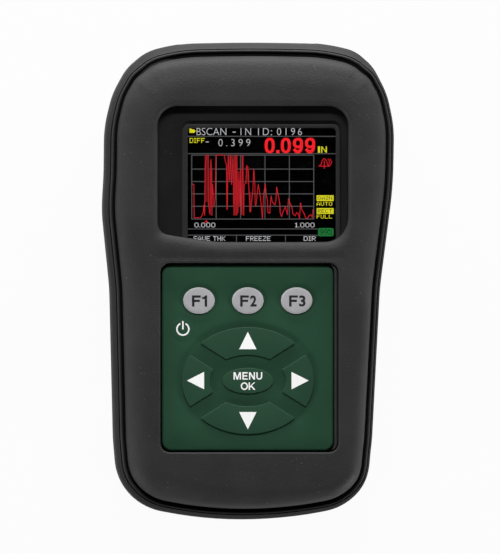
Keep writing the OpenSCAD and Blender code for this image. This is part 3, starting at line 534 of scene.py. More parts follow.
# Echoes on the display, as places along the grid and heights in rows of it
echoes = [
    (0.1, 2.75), (0.6, 2.7), (0.7, 0.1), (2.6, 0.1), (3.3, 0.5), (3.5, 1.1), (3.7, 0.3), (3.9, 4.1),
    (4.2, 5.0), (4.7, 5.0), (4.8, 1.2), (5.3, 0.35), (5.5, 4.65), (5.7, 3.8), (5.8, 0.3), (6.0, 2.7),
    (6.2, 2.0), (6.4, 0.95), (6.8, 1.8), (7.0, 5.0), (9.4, 5.0), (9.6, 4.6), (10.0, 4.25), (10.2, 0.75),
    (10.5, 5.0), (10.9, 3.0), (11.2, 5.0), (11.5, 2.7), (11.9, 4.7), (12.2, 0.3), (12.5, 5.0),
    (12.8, 0.3), (13.0, 5.0), (13.3, 0.5), (13.6, 3.7), (13.9, 1.0), (14.1, 3.9), (14.4, 0.35),
    (14.6, 5.0), (15.0, 0.3), (15.1, 2.7), (15.6, 2.8), (15.9, 4.2), (16.3, 3.7), (16.4, 2.8),
    (16.9, 0.55), (17.2, 1.2), (17.6, 2.1), (17.9, 3.9), (18.2, 2.7), (18.3, 1.2), (18.5, 1.0),
    (18.8, 1.8), (19.2, 2.7), (19.7, 1.9), (20.0, 1.2), (20.4, 0.05), (20.7, 1.8), (21.2, 2.75),
    (21.5, 1.8), (21.8, 1.5), (22.0, 0.5), (22.5, 0.45), (22.7, 1.2), (22.9, 1.8), (23.2, 1.35),
    (24.0, 1.1), (24.3, 1.5), (24.5, 2.5), (25.0, 1.8), (25.4, 1.2), (25.5, 0.5), (25.9, 0.2),
    (26.3, 0.55), (27.0, 0.95), (27.6, 0.35), (27.9, 1.6), (28.4, 1.2), (28.9, 0.95), (29.2, 0.4),
    (29.9, 0.25), (30.2, 0.5), (30.7, 0.45), (31.1, 0.05), (31.4, 1.25), (31.8, 0.7), (32.4, 0.45),
    (32.8, 0.1), (33.4, 0.05), (33.8, 0.25), (34.4, 0.35), (34.8, 0.1), (35.0, 0.75),
]
# Blurred bursts behind them: where each starts and ends, and its lowest and highest row
bursts = [
    (3.7, 4.9, 1.35, 4.95), (4.9, 5.95, 1.0, 3.8), (10.0, 10.4, 0.75, 4.2), (10.4, 13.1, 3.05, 4.95),
    (11.9, 13.9, 0.95, 3.05), (12.3, 13.3, 0.3, 0.95), (14.4, 15.0, 0.3, 4.95),
    (15.6, 16.5, 2.8, 4.1), (16.6, 17.2, 0.55, 2.1),
]
row_h = (grid_v[-1] - grid_v[0]) / (len(grid_v) - 1)
burst_dots = bmesh.new()
for start, end, low, high in bursts:
    screen_block(burst_dots, grid_u[0] + start, grid_v[-1] - high * row_h,
                 grid_u[0] + end, grid_v[-1] - low * row_h, z_over)
burst = new_piece("display_bursts", burst_dots, lit("lit_dark_red", (0.15, 0.006, 0.008)))
wave_dots = bmesh.new()
wave_line, bell_line, clapper_line = 0.18, 0.2, 0.24
echo_points = [(grid_u[0] + u, grid_v[-1] - h * row_h) for u, h in echoes]
screen_line(wave_dots, echo_points, wave_line, z_over + ink_t)
marker_u, marker_v = 5.55, 27.3
marker = [(-0.6, 0.75), (0.6, 0.75), (0.0, 0.0)]
add_slab(wave_dots, [on_screen(marker_u + u, marker_v + v) for u, v in marker], z_glass)
bell_u, bell_v = 39.6, 10.9
bell = [(-1.5, 0.9), (-0.9, 0.4), (-0.6, -0.8), (0.0, -1.3), (0.6, -0.8), (0.9, 0.4), (1.5, 0.9),
        (-1.5, 0.9)]
clapper = [(0.0, -0.6), (0.0, 1.5)]
near_sound = [(1.1, -1.2), (1.6, -0.3), (1.1, 0.7)]
far_sound = [(1.7, -1.2), (2.2, -0.3), (1.7, 0.7)]
for points, width in ((bell, bell_line), (clapper, clapper_line), (near_sound, wave_line),
                      (far_sound, wave_line)):
    screen_line(wave_dots, [(bell_u + u, bell_v + v) for u, v in points], width)
waveform = new_piece("display_waveform", wave_dots, lit("lit_deep_red", (0.58, 0.014, 0.022)))

for part in (white_words, yellow_words, dark_words, reading, grid_lines, burst, waveform, badge):
    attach(part, "gauge")


# Keypad board and the link that plugs it on the main board. The board is the same laminate, and
# the link is a moulded pin strip.
dress("keypad_board", board_mask)
dress("board_link", frame_plastic)


# Keypad mat: one silicone moulding in green. Its flange is trapped behind the case's front, its
# panel stands in the boot's window, and the keys stand in shallow dishes darkened by painted shade.
def corner_arc(a, b, c, r, steps):
    """Arc of radius r that rounds the corner at b between a and c."""
    u, w = (b - a).normalized(), (c - b).normalized()
    side = 1 if u.x * w.y - u.y * w.x >= 0 else -1
    turn = math.acos(max(-1.0, min(1.0, u.dot(w))))
    p = b - u * r * math.tan(turn / 2)
    m = p + Vector((-u.y, u.x)) * side * r
    d = p - m
    out = []
    for k in range(steps + 1):
        angle = side * turn * k / steps
        out.append(m + Vector((d.x * math.cos(angle) - d.y * math.sin(angle),
                               d.x * math.sin(angle) + d.y * math.cos(angle))))
    return out


def rounded(corners):
    """Closed outline from corners given as (x, y, radius, steps)."""
    n = len(corners)
    out = []
    for i, (x, y, r, steps) in enumerate(corners):
        before, after = corners[i - 1], corners[(i + 1) % n]
        out += corner_arc(Vector(before[:2]), Vector((x, y)), Vector(after[:2]), r, steps)
    return out


def round_box(w, h, r, at, steps):
    x, y = at
    return rounded([(x - w / 2, y - h / 2, r, steps), (x + w / 2, y - h / 2, r, steps),
                    (x + w / 2, y + h / 2, r, steps), (x - w / 2, y + h / 2, r, steps)])


def oval_arc(a, b, start, end, n):
    angles = [start + (end - start) * k / n for k in range(n + 1)]
    return [Vector((a * math.cos(t), b * math.sin(t))) for t in angles]


def shifted(pts, at):
    return [p + Vector(at) for p in pts]


def oval(a, b, at, n=72):
    return shifted(oval_arc(a, b, 0.0, math.tau, n)[:-1], at)


def inset(pts, d):
    """Outline moved inwards by d, or outwards where d is negative."""
    out = []
    for i, p in enumerate(pts):
        u, w = (p - pts[i - 1]).normalized(), (pts[(i + 1) % len(pts)] - p).normalized()
        a, b = Vector((u.y, -u.x)), Vector((w.y, -w.x))
        out.append(p - d * (a + b) / (1 + a.dot(b)))
    return out


def ring(bm, pts, z):
    return [bm.verts.new((p.x, p.y, z)) for p in pts]


def strip(bm, low, high):
    """Skin between two rings of as many points."""
    for i in range(len(low)):
        k = (i + 1) % len(low)
        bm.faces.new((low[i], low[k], high[k], high[i]))


def loft(bm, pts, profile, last):
    """Rings over an outline at (inset, height) steps, each joined to the last; gives the final ring."""
    for d, z in profile:
        new = ring(bm, inset(pts, d), z)
        strip(bm, last, new)
        last = new
    return last


def quarter(first, last, steps):
    """Angles of a rounded edge, in even steps between two given in degrees."""
    return [math.radians(first + (last - first) * k / steps) for k in range(steps + 1)]


def rolled_edge(z, r):
    """Steps of an edge rounded by r, from the wall up to the face at z."""
    return [(r * (1 - math.cos(t)), z - r * (1 - math.sin(t))) for t in quarter(0, 90, 6)]


def inside(points, outline):
    """For each point, whether it lies inside the outline."""
    px, py = points[:, 0:1], points[:, 1:2]
    x0, y0 = outline[:, 0], outline[:, 1]
    x1, y1 = np.roll(x0, -1), np.roll(y0, -1)
    crosses = (y0 > py) != (y1 > py)
    with np.errstate(divide="ignore", invalid="ignore"):
        at = (x1 - x0) * (py - y0) / (y1 - y0) + x0
    return (np.sum(crosses & (px < at), axis=1) % 2) == 1


def fill(bm, outer, holes=(), extra=(), height=None):
    """Skin inside one ring and outside others, through extra points at their own heights."""
    loops = [outer, *holes]
    verts = [v for loop in loops for v in loop]
    flat = [v.co.xy.copy() for v in verts] + [Vector(p) for p in extra]
    edges = []
    start = 0
    for loop in loops:
        edges += [(start + i, start + (i + 1) % len(loop)) for i in range(len(loop))]
        start += len(loop)
    spots, _, faces, origin, _, _ = delaunay_2d_cdt(flat, edges, [], 0, 1e-7)
    made = []
    for at, source in zip(spots, origin):
        if source and source[0] < len(verts):
            made.append(verts[source[0]])
        else:
            made.append(bm.verts.new((at.x, at.y, height(at.x, at.y))))
    middles = np.array([[sum(spots[i][k] for i in f) / 3 for k in (0, 1)] for f in faces])
    keep = inside(middles, np.array([v.co.xy for v in outer]))
    for hole in holes:
        keep &= ~inside(middles, np.array([v.co.xy for v in hole]))
    for f, kept in zip(faces, keep):
        if kept:
            bm.faces.new([made[i] for i in f])


def smooth(x):
    """Soft step from 0 to 1."""
    x = min(1.0, max(0.0, x))
    return x * x * (3 - 2 * x)


pad_y = -22.1
pad_w, pad_l, pad_r = 49.5, 53.75, 2.8
flange_w, flange_r = 1.6, 1.5
z_flange, z_inner, z_web, z_pad = 30.5, 31.5, 31.6, 36.4
pad_edge = 0.7
dish_d, dish_steps = 0.10, 10
fkey_dish, fkey_floor = 1.45, 0.35
dpad_dish, dpad_floor = 2.3, 0.3
seam, power_seam = 0.02, 0.015
stem_r, stem_gap, stem_points = 1.8, 0.3, 32
fkey_y, fkey_pitch = -5.65, 14.1
fkey_a, fkey_b = 4.55, 3.825
dpad = (0.0, -28.7)
dpad_a, dpad_b, dpad_ring = 19.0, 15.4, 7.95
power_at = (-18.8, -13.9)
power_r = 3.5
ok_a, ok_b = 7.25, 3.675
key_slope = math.radians(32)
up_gap, side_gap = 1.9, 2.5
key_corner, key_clear, key_tip, tip_steps = 0.2, 0.8, math.radians(30), 5
key_sharp = 40


def gap_angle(a, b, gap, side):
    """Where the slanting gap beside an arrow key meets an oval."""
    turn = math.atan2(a * math.sin(key_slope), b * math.cos(key_slope))
    return turn + side * math.asin(gap / math.hypot(a * math.sin(key_slope), b * math.cos(key_slope)))


def soft_tips(pts):
    """Outline whose sharp corners alone are rounded, with the points beside them left out."""
    def sharp(i):
        a, b, c = pts[i - 1], pts[i], pts[(i + 1) % len(pts)]
        return (b - a).normalized().dot((c - b).normalized()) < math.cos(key_tip)

    tips = [pts[i] for i in range(len(pts)) if sharp(i)]
    kept = [p for p in pts if p in tips or min((p - t).length for t in tips) > key_clear]
    out = []
    for i, b in enumerate(kept):
        if b in tips:
            out += corner_arc(kept[i - 1], b, kept[(i + 1) % len(kept)], key_corner, tip_steps)
        else:
            out.append(b)
    return out


in_a, in_b = dpad_a - dpad_ring, dpad_b - dpad_ring
out_turn, in_turn = gap_angle(dpad_a, dpad_b, up_gap, 1), gap_angle(in_a, in_b, up_gap, 1)
up_key = soft_tips(oval_arc(dpad_a, dpad_b, out_turn, math.pi - out_turn, 40)
                   + oval_arc(in_a, in_b, math.pi - in_turn, in_turn, 24))
out_turn, in_turn = gap_angle(dpad_a, dpad_b, side_gap, -1), gap_angle(in_a, in_b, side_gap, -1)
right_key = soft_tips(oval_arc(dpad_a, dpad_b, -out_turn, out_turn, 32)
                      + oval_arc(in_a, in_b, in_turn, -in_turn, 16))
reach_up, reach_right = dpad_b - dpad_ring / 2, dpad_a - dpad_ring / 2
keys = {
    "f1": (oval(fkey_a, fkey_b, (-fkey_pitch, fkey_y)), (-fkey_pitch, fkey_y)),
    "f2": (oval(fkey_a, fkey_b, (0, fkey_y)), (0, fkey_y)),
    "f3": (oval(fkey_a, fkey_b, (fkey_pitch, fkey_y)), (fkey_pitch, fkey_y)),
    "power": (oval(power_r, power_r, power_at), power_at),
    "up": (shifted(up_key, dpad), (0, dpad[1] + reach_up)),
    "down": (shifted([-p for p in up_key], dpad), (0, dpad[1] - reach_up)),
    "left": (shifted([-p for p in right_key], dpad), (-reach_right, dpad[1])),
    "right": (shifted(right_key, dpad), (reach_right, dpad[1])),
    "ok": (oval(ok_a, ok_b, dpad), dpad),
}


def shade_by(material, attribute, shade):
    """Darkens a moulding's colour by a value that its mesh carries: painted shade."""
    tree = material.node_tree
    base = tree.nodes["Principled BSDF"].inputs["Base Color"]
    plain = base.links[0].from_socket
    mask = add_node(tree, "ShaderNodeAttribute", {"attribute_name": attribute})
    painted_shade = add_node(tree, "ShaderNodeMix", {"data_type": "RGBA", "blend_type": "MULTIPLY"})
    painted_shade.inputs["B"].default_value = (shade, shade, shade, 1)
    wire(tree, mask, "Fac", painted_shade, "Factor")
    tree.links.new(plain, painted_shade.inputs["A"])
    tree.links.new(painted_shade.outputs["Result"], base)


pad_dark, pad_light = (0.0165, 0.0580, 0.0310), (0.0195, 0.0670, 0.0360)
pad_green = moulded("pad_green", pad_dark, pad_light, (0.5, 0.6), 3200, 1.2e-5,
                    dust=0.05, drift=45, specular=0.12)
# Painted shade: the mat's colour is darkened down the dishes round the keys and on the rims of the
# keys' holes in them.
shade_by(pad_green, "dish_shade", 0.84)
mat = bmesh.new()
dish_shade = mat.verts.layers.float.new("dish_shade")
pad_outline = round_box(pad_w, pad_l, pad_r, (0, pad_y), 10)
flange_outline = round_box(pad_w + 2 * flange_w, pad_l + 2 * flange_w, flange_r, (0, pad_y), 10)
foot = ring(mat, flange_outline, z_flange)
flange_top = ring(mat, flange_outline, z_inner)
strip(mat, foot, flange_top)
pad_top = loft(mat, pad_outline, [(0, z_inner), *rolled_edge(z_pad, pad_edge)], flange_top)


def dish(bm, pts, width, floor_at):
    """Rings of a soft dish from the panel's face down to its floor, with painted shade that deepens
    towards the floor; gives the first and last.
    """
    first = last = None
    for k in range(dish_steps + 1):
        fall = smooth(k / dish_steps)
        out = width + (floor_at - width) * k / dish_steps
        new = ring(bm, inset(pts, -out), z_pad - dish_d * fall)
        for v in new:
            v[dish_shade] = fall
        if last:
            strip(bm, last, new)
        first, last = first or new, new
    return first, last


def well(bm, name, z, gap, shade):
    """Hole that a key slides in, down to its web, with the hole of its stem; gives its two rims."""
    pts, at = keys[name]
    rim = ring(bm, inset(pts, -gap), z)
    # The hole's rim carries the given amount of painted shade.
    for v in rim:
        v[dish_shade] = shade
    web = ring(bm, inset(pts, -gap), z_web)
    strip(bm, rim, web)
    stem_hole = oval(stem_r + stem_gap, stem_r + stem_gap, at, stem_points)
    stem_top = ring(bm, stem_hole, z_web)
    stem_foot = ring(bm, stem_hole, z_flange)
    fill(bm, web, [stem_top])
    strip(bm, stem_top, stem_foot)
    return rim, stem_foot


panel_holes, stem_feet = [], []
for name in ("f1", "f2", "f3"):
    top_rim, floor_rim = dish(mat, keys[name][0], fkey_dish, fkey_floor)
    rim, stem_foot = well(mat, name, z_pad - dish_d, seam, 1.0)
    strip(mat, floor_rim, rim)
    panel_holes.append(top_rim)
    stem_feet.append(stem_foot)
rim, stem_foot = well(mat, "power", z_pad, power_seam, 0.0)
panel_holes.append(rim)
stem_feet.append(stem_foot)
top_rim, floor_rim = dish(mat, oval(dpad_a, dpad_b, dpad, 120), dpad_dish, dpad_floor)
panel_holes.append(top_rim)
floor_holes = []
for name in ("up", "down", "left", "right", "ok"):
    rim, stem_foot = well(mat, name, z_pad - dish_d, seam, 1.0)
    floor_holes.append(rim)
    stem_feet.append(stem_foot)
fill(mat, floor_rim, floor_holes)
fill(mat, pad_top, panel_holes)
fill(mat, foot, stem_feet)
keypad_mat = new_piece("keypad_panel", mat, pad_green, key_sharp)
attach(keypad_mat, "gauge")
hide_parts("keypad_mat")


# Keys: silicone buttons with a rounded edge, three in grey and six in the mat's green, the four arrows
# and the OK key in a darker copy of it as painted shade. Each stands on a stem over the keypad board,
# and its sign is printed on top in black or white ink.
z_key, z_stem = 32.45, 31.35
key_top, arrow_top = 37.0, 36.85
fkey_roll, arrow_roll, power_roll = 0.5, 0.16, 0.02
fkey_grey = moulded("fkey_grey", (0.335, 0.328, 0.345), (0.385, 0.380, 0.395),
                    (0.5, 0.62), 3000, 1.2e-5, drift=220, specular=0.2)
# Painted shade: the arrow keys and the OK key are a darker copy of the mat's green, taking out the
# extra light they catch standing higher.
shaded_key_green = moulded("shaded_key_green", (0.0148, 0.0500, 0.0272), (0.0170, 0.0570, 0.0312),
                    (0.48, 0.58), 3200, 1.2e-5, dust=0.05, drift=45, specular=0.15)
power_green = moulded("power_green", pad_dark, pad_light, (0.5, 0.6), 3200, 1.2e-5,
                      dust=0.05, drift=45, specular=0.12)


def make_key(name, z, material, roll, crown=()):
    """Key with a rolled edge, whose top may rise further in (inset, rise) steps."""
    pts, at = keys[name]
    bm = bmesh.new()
    skirt = ring(bm, pts, z_key)
    edge = rolled_edge(z - (crown[-1][1] if crown else 0.0), roll)
    rise = [(d, edge[-1][1] + up) for d, up in crown]
    fill(bm, loft(bm, pts, edge + rise, skirt))
    stem = oval(stem_r, stem_r, at, stem_points)
    stem_top = ring(bm, stem, z_key)
    stem_foot = ring(bm, stem, z_stem)
    fill(bm, skirt, [stem_top])
    strip(bm, stem_top, stem_foot)
    fill(bm, stem_foot)
    key = new_piece(f"{name}_button", bm, material, key_sharp)
    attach(key, f"key_{name}_body")
    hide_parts(f"key_{name}")
    return key


fkey_crown = [(0.75, 0.025), (1.0, 0.042), (1.3, 0.052), (1.6, 0.055)]
for name in ("f1", "f2", "f3"):
    make_key(name, key_top, fkey_grey, fkey_roll, fkey_crown)
for name in ("up", "down", "left", "right", "ok"):
    make_key(name, arrow_top, shaded_key_green, arrow_roll)
make_key("power", z_pad, power_green, power_roll)

black_ink = moulded("black_ink", (0.004, 0.004, 0.0045), (0.008, 0.008, 0.0085),
                    (0.5, 0.62), 2500, 4e-6, specular=0.3)
white_ink = moulded("white_ink", (0.88, 0.88, 0.87), (0.92, 0.92, 0.92),
                    (0.5, 0.62), 2500, 4e-6, specular=0.2)


def letter(name, s):
    """Outline of a block letter of height 1, with strokes of width s, and the letter's width."""
    if name == "F":
        w = 0.78
        mid = 0.42
        return [(0, 0), (s, 0), (s, mid), (0.9 * w, mid), (0.9 * w, mid + s * 0.9), (s, mid + s * 0.9),
                (s, 1 - s * 0.9), (w, 1 - s * 0.9), (w, 1), (0, 1)], w
    if name == "1":
        w = 0.46
        return [(w - s, 0), (w, 0), (w, 1), (w - s * 0.7, 1), (w - s * 1.3, 0.87), (0, 0.82), (0, 0.69),
                (w - s, 0.69)], w
    if name == "M":
        w = 1.0
        c = w / 2
        return [(0, 0), (s, 0), (s, 0.72), (c - s * 0.45, 0), (c + s * 0.45, 0), (w - s, 0.72),
                (w - s, 0), (w, 0), (w, 1), (w - s * 1.4, 1), (c, 0.32), (s * 1.4, 1), (0, 1)], w
    if name == "E":
        w = 0.70
        bar = 0.94 * w
        return [(0, 0), (w, 0), (w, s), (s, s), (s, 0.5 - s / 2), (bar, 0.5 - s / 2),
                (bar, 0.5 + s / 2), (s, 0.5 + s / 2), (s, 1 - s), (w, 1 - s), (w, 1), (0, 1)], w
    if name == "N":
        w = 0.80
        return [(0, 0), (s, 0), (s, 0.68), (w - s * 1.1, 0), (w, 0), (w, 1), (w - s, 1),
                (w - s, 0.32), (s * 1.1, 1), (0, 1)], w
    if name == "K":
        w = 0.92
        return [(0, 0), (s, 0), (s, 0.30), (s * 1.7, 0.42), (w - s * 1.25, 0), (w, 0), (s * 2.4, 0.60),
                (w - 0.03, 1), (w - s * 1.3, 1), (s, 0.52), (s, 1), (0, 1)], w
    w = 0.78
    r = w / 2
    bowl = quarter(180, 360, 14)
    outer = [(r + r * math.cos(t), r + r * math.sin(t)) for t in bowl]
    inner = [(r + (r - s) * math.cos(t), r + (r - s) * math.sin(t)) for t in bowl[::-1]]
    return [(0, 1), *outer, (w, 1), (w - s, 1), *inner, (s, 1)], w


def add_letter(bm, name, left, foot_y, cap, s, z):
    """Adds one block letter; gives the place of its right edge."""
    points, w = letter(name, s)
    add_slab(bm, [(left + x * cap, foot_y + y * cap) for x, y in points], z)
    return left + w * cap


def add_hoop(bm, outer, inner, z):
    """Adds a thin flat ring between two outlines of as many points."""
    top = z + ink_t
    loops = [ring(bm, pts, at) for pts, at in ((outer, z), (outer, top), (inner, top), (inner, z))]
    for k, loop in enumerate(loops):
        strip(bm, loop, loops[(k + 1) % len(loops)])


def print_sign(name, key, bm, ink):
    """Lays a printed sign on its key."""
    sign = new_piece(name, bm, ink)
    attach(sign, f"key_{key}_body")


fkey_cap, fkey_stroke = 3.2, 0.215
fkey_foot = fkey_y - 1.72
f_w, sign_gap, sign_shift = 2.42, 0.38, 0.12
digit_weight = 0.03
for name, x, digit_w in (("f1", -fkey_pitch, 1.42), ("f2", 0.0, 1.85), ("f3", fkey_pitch, 1.85)):
    sign = bmesh.new()
    left = x - (f_w + sign_gap + digit_w) / 2 + sign_shift
    left = add_letter(sign, "F", left, fkey_foot, fkey_cap, fkey_stroke, key_top) + sign_gap
    if name == "f1":
        add_letter(sign, "1", left, fkey_foot, fkey_cap, fkey_stroke, key_top)
    else:
        font_words(sign, name[1], left, fkey_foot + fkey_cap, digit_w, fkey_cap, key_top, digit_weight)
    print_sign(f"{name}_sign", name, sign, black_ink)
arrow_half = 2.5
up_foot, up_tip = 9.05, 14.05
right_foot, right_tip = 12.6, 17.55
arrow_up = [(-arrow_half, up_foot), (arrow_half, up_foot), (0.0, up_tip)]
arrow_right = [(right_foot, -arrow_half), (right_tip, 0.0), (right_foot, arrow_half)]
for name, points, turn in (("up", arrow_up, 1), ("down", arrow_up, -1),
                           ("left", arrow_right, -1), ("right", arrow_right, 1)):
    sign = bmesh.new()
    add_slab(sign, [(turn * x + dpad[0], turn * y + dpad[1]) for x, y in points], arrow_top)
    print_sign(f"{name}_sign", name, sign, white_ink)
sign = bmesh.new()
word_cap, word_stroke = 2.14, 0.17
menu_foot, k_left, k_foot = dpad[1] + 0.28, 0.24, dpad[1] - 2.67
left = -4.12
for name, gap in (("M", 0.42), ("E", 0.4), ("N", 0.42), ("U", 0.0)):
    left = add_letter(sign, name, left, menu_foot, word_cap, word_stroke, arrow_top) + gap
o_a, o_b = 1.04, 1.1
o_at = (-1.0, dpad[1] - 1.6)
o_stroke = word_stroke * word_cap
add_hoop(sign, oval(o_a, o_b, o_at, 36), oval(o_a - o_stroke, o_b - o_stroke, o_at, 36), arrow_top)
add_letter(sign, "K", k_left, k_foot, word_cap, word_stroke, arrow_top)
print_sign("ok_sign", "ok", sign, white_ink)
sign = bmesh.new()
ring_r, ring_w, ring_gap = 1.72, 0.44, 25
bar_top, bar_foot = 2.3, -0.1
ring_at = (power_at[0] + 0.1, power_at[1] + 0.05)
ring_out, ring_in = ring_r + ring_w / 2, ring_r - ring_w / 2
add_band(sign, *[squircle(r, r, ring_at, 90 + ring_gap, 450 - ring_gap, 48, 2)
                 for r in (ring_out, ring_in)], z_pad)
add_block(sign, ring_at[0] - ring_w / 2, ring_at[1] + bar_top,
          ring_at[0] + ring_w / 2, ring_at[1] + bar_foot, z_pad)
print_sign("power_sign", "power", sign, white_ink)


# Front half of the case, moulded like the rear half. Its face shows round the display, where a low
# moulded rim frames the lens, and in the slit beside the keypad.
dress("front_case", case_plastic)
rim_plastic = moulded("rim_plastic", (0.019, 0.019, 0.0195), (0.026, 0.026, 0.0265),
                      (0.42, 0.5), 2600, 1.4e-5, specular=0.15)
rim_at = (3.85, 26.85)
rim_w, rim_h, rim_r = 45.65, 36.6, 2.3
rim_hole_at = (4.1, rim_at[1])
rim_hole_w, rim_hole_h, rim_hole_r = 43.1, 34.8, 1.2
z_face = 34.5
rim_sunk, rim_sharp = 0.02, 50
rim_edge = [(0, 0.22), (0.06, 0.32), (0.2, 0.36)]
rim_bevel = [(0.15, 0.3), (0.2, -rim_sunk)]
rim_bm = bmesh.new()
rim_outline = round_box(rim_w, rim_h, rim_r, rim_at, 8)
rim_hole = round_box(rim_hole_w, rim_hole_h, rim_hole_r, rim_hole_at, 8)
outer_foot = ring(rim_bm, rim_outline, z_face - rim_sunk)
outer_top = loft(rim_bm, rim_outline, [(d, z_face + up) for d, up in rim_edge], outer_foot)
inner_top = ring(rim_bm, rim_hole, z_face + rim_edge[-1][1])
strip(rim_bm, outer_top, inner_top)
inner_foot = loft(rim_bm, rim_hole, [(d, z_face + up) for d, up in rim_bevel], inner_top)
strip(rim_bm, inner_foot, outer_foot)
lens_rim = new_piece("lens_rim", rim_bm, rim_plastic, rim_sharp)
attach(lens_rim, "gauge")


# Four screws that join the halves from behind, deep in the rear case under the boot.
# They are plated steel with a cross recess.
dress("case_screws", bright_steel)


# Rubber boot: one thick moulding that is stretched over the case. A bead and a groove run round a
# padded front, and it is open over the display, the keypad, the sockets and the battery door.
half_l = 69.0
z_top = 38.0
foot_crown, lining_crown, skin_crown = 2.15, 0.35, 0.12
# Right side from the foot to the head: the corners' places, radii and steps
flank = [(37.2, -63.95, 17.5, 22), (39.0, -1.9, 80, 8), (41.7, 21.5, 90, 8), (41.7, 47.0, 36, 8),
         (37.7, 58.6, 22, 8), (29.1, 68.33, 16, 14)]
foot_bend = math.atan((half_l + foot_crown + flank[0][1]) / flank[0][0])
outline_step, window_step = 3.0, 1.5


def boot_shape(side, head_crown):
    """Corners of the boot's outline, whose left side mirrors the right one."""
    crown_bend = math.atan((half_l + head_crown - side[-1][1]) / side[-1][0])
    return [(0, -half_l - foot_crown, foot_crown / (1 / math.cos(foot_bend) - 1), 12), *side,
            (0, half_l + head_crown, head_crown / (1 / math.cos(crown_bend) - 1), 6),
            *[(-x, y, r, n) for x, y, r, n in side[::-1]]]


def ramp(x, zone):
    """Soft step from 0 to 1 over a zone that is given by its two ends."""
    return smooth((x - zone[0]) / (zone[1] - zone[0]))


def spaced(pts, step):
    """Outline with its long stretches divided."""
    out = []
    for i, p in enumerate(pts):
        q = pts[(i + 1) % len(pts)]
        n = max(1, math.ceil((q - p).length / step))
        out += [p.lerp(q, k / n) for k in range(n)]
    return out


def outwards(pts):
    """Unit direction away from an outline at each of its points."""
    out = []
    for i in range(len(pts)):
        along = (pts[(i + 1) % len(pts)] - pts[i - 1]).normalized()
        out.append(Vector((along.y, -along.x)))
    return out


boot_outline = spaced(rounded(boot_shape(flank, lining_crown)), outline_step)
# The outer skin is slimmer at the foot, and the stretched rubber sits a little askew on the case
skin_flank = [(35.5, -64.28, 16.5, 20), (37.35, -45.5, 45, 8), *flank[1:3], (41.8, 44.5, 36, 8),
              (39.6, 54.2, 24, 6), (35.6, 61.6, 14, 8), (30.0, 66.4, 12, 8), (21.0, 68.65, 52, 12)]
skew, head_skew, foot_bulge = 0.014, 0.65, 0.7
head_zone, bulge_right, bulge_low = (17.0, 33.0), (6.0, 20.0), (50.0, 62.0)
skin_outline = [p + Vector((skew * p.y + head_skew * ramp(p.y, head_zone)
                            + foot_bulge * ramp(p.x, bulge_right) * ramp(-p.y, bulge_low), 0.0))
                for p in spaced(rounded(boot_shape(skin_flank, skin_crown)), outline_step)]
skin_normals = outwards(skin_outline)
# Towards the front the skin is drawn in at its two ends, and its bead is lifted at the head
head_draw, foot_draw, pad_draw, head_lift = 0.85, 0.3, 0.35, 0.6
end_zone = (0.35, 0.95)
head_share = [ramp(n.y, end_zone) for n in skin_normals]
front_outline = [p - n * (head_draw * head + foot_draw * ramp(-n.y, end_zone))
                 for p, n, head in zip(skin_outline, skin_normals, head_share)]
pad_top_outline = [p - n * pad_draw * head
                   for p, n, head in zip(front_outline, skin_normals, head_share)]
window_at = (1.5, 11.275)
window_half, window_h, window_r = 27.5, 39.15, 5.8
window_rise, rise_w, rise_r = 2.65, 15.9, 60
window_left_r, window_right_r = 3.5, 7.0
window = rounded([(-window_half, window_rise, window_left_r, 10), (rise_w - window_half, 0, rise_r, 8),
                  (window_half, 0, window_right_r, 14), (window_half, window_h, window_r, 12),
                  (-window_half, window_h, window_r, 12)])
window = spaced(shifted(window, window_at), window_step)
hole_w, hole_l, hole_x = 51.4, 54.55, 0.45
hole = spaced(round_box(hole_w, hole_l, pad_r, (hole_x, pad_y), 8), window_step)
shoulder_from, shoulder_w, shoulder_p = 3.0, 9.4, 2.15
# Where the shoulder is drawn tight it is narrower and squarer: the way it faces, and how far down
tight_w, tight_p = 4.6, 0.6
tight_way, tight_turn, tight_low = (0.8, -0.6), (0.3, 0.8), (-15.0, 10.0)
z_foot = 32.2
# Lips of the two windows, the first wider and deeper along its lower edge, and the bar between them
lip_w, lip_drop = 1.5, 1.45
low_lip_w, low_lip_drop, low_turn = 1.9, 0.5, (0.2, 0.8)
edge_lip_w, edge_lip_drop = 0.45, 0.4
dip, dip_y, dip_w = 0.25, 6.9, 0.85
dip_x, dip_half, dip_fade = 0.6, 29.0, 5.0


def nearest(x, y, outline):
    """Distance of a point to an outline, and the unit direction away from it."""
    p = np.array((x, y))
    a = outline
    b = np.roll(a, -1, axis=0)
    t = np.clip(np.sum((p - a) * (b - a), axis=1) / np.sum((b - a) ** 2, axis=1), 0, 1)
    away = p - (a + (b - a) * t[:, None])
    i = np.argmin(np.sum(away ** 2, axis=1))
    d = float(np.hypot(*away[i]))
    return d, away[i] / max(d, 1e-9)


outline_np = np.array([tuple(p) for p in pad_top_outline])
window_np = np.array([tuple(p) for p in window])
hole_np = np.array([tuple(p) for p in hole])


def tightness(n, y):
    """How far the shoulder is drawn tight: fully along the lower right side."""
    return ramp(tight_way[0] * n[0] + tight_way[1] * n[1], tight_turn) * ramp(-y, tight_low)


def shoulder(d, tight):
    """Height of the padded front at a distance inside the boot's outline."""
    u = min(1.0, max(0.0, (d - shoulder_from) / (shoulder_w - tight_w * tight)))
    power = shoulder_p + tight_p * tight
    return z_foot + (z_top - z_foot) * (1 - (1 - u) ** power) ** (1 / power)


def lip(s, width, drop):
    """Fall of a rounded lip at a distance s from the window's edge."""
    if s >= width:
        return 0.0
    return drop * (1 - math.sqrt(max(0.0, 1 - (1 - s / width) ** 2)))


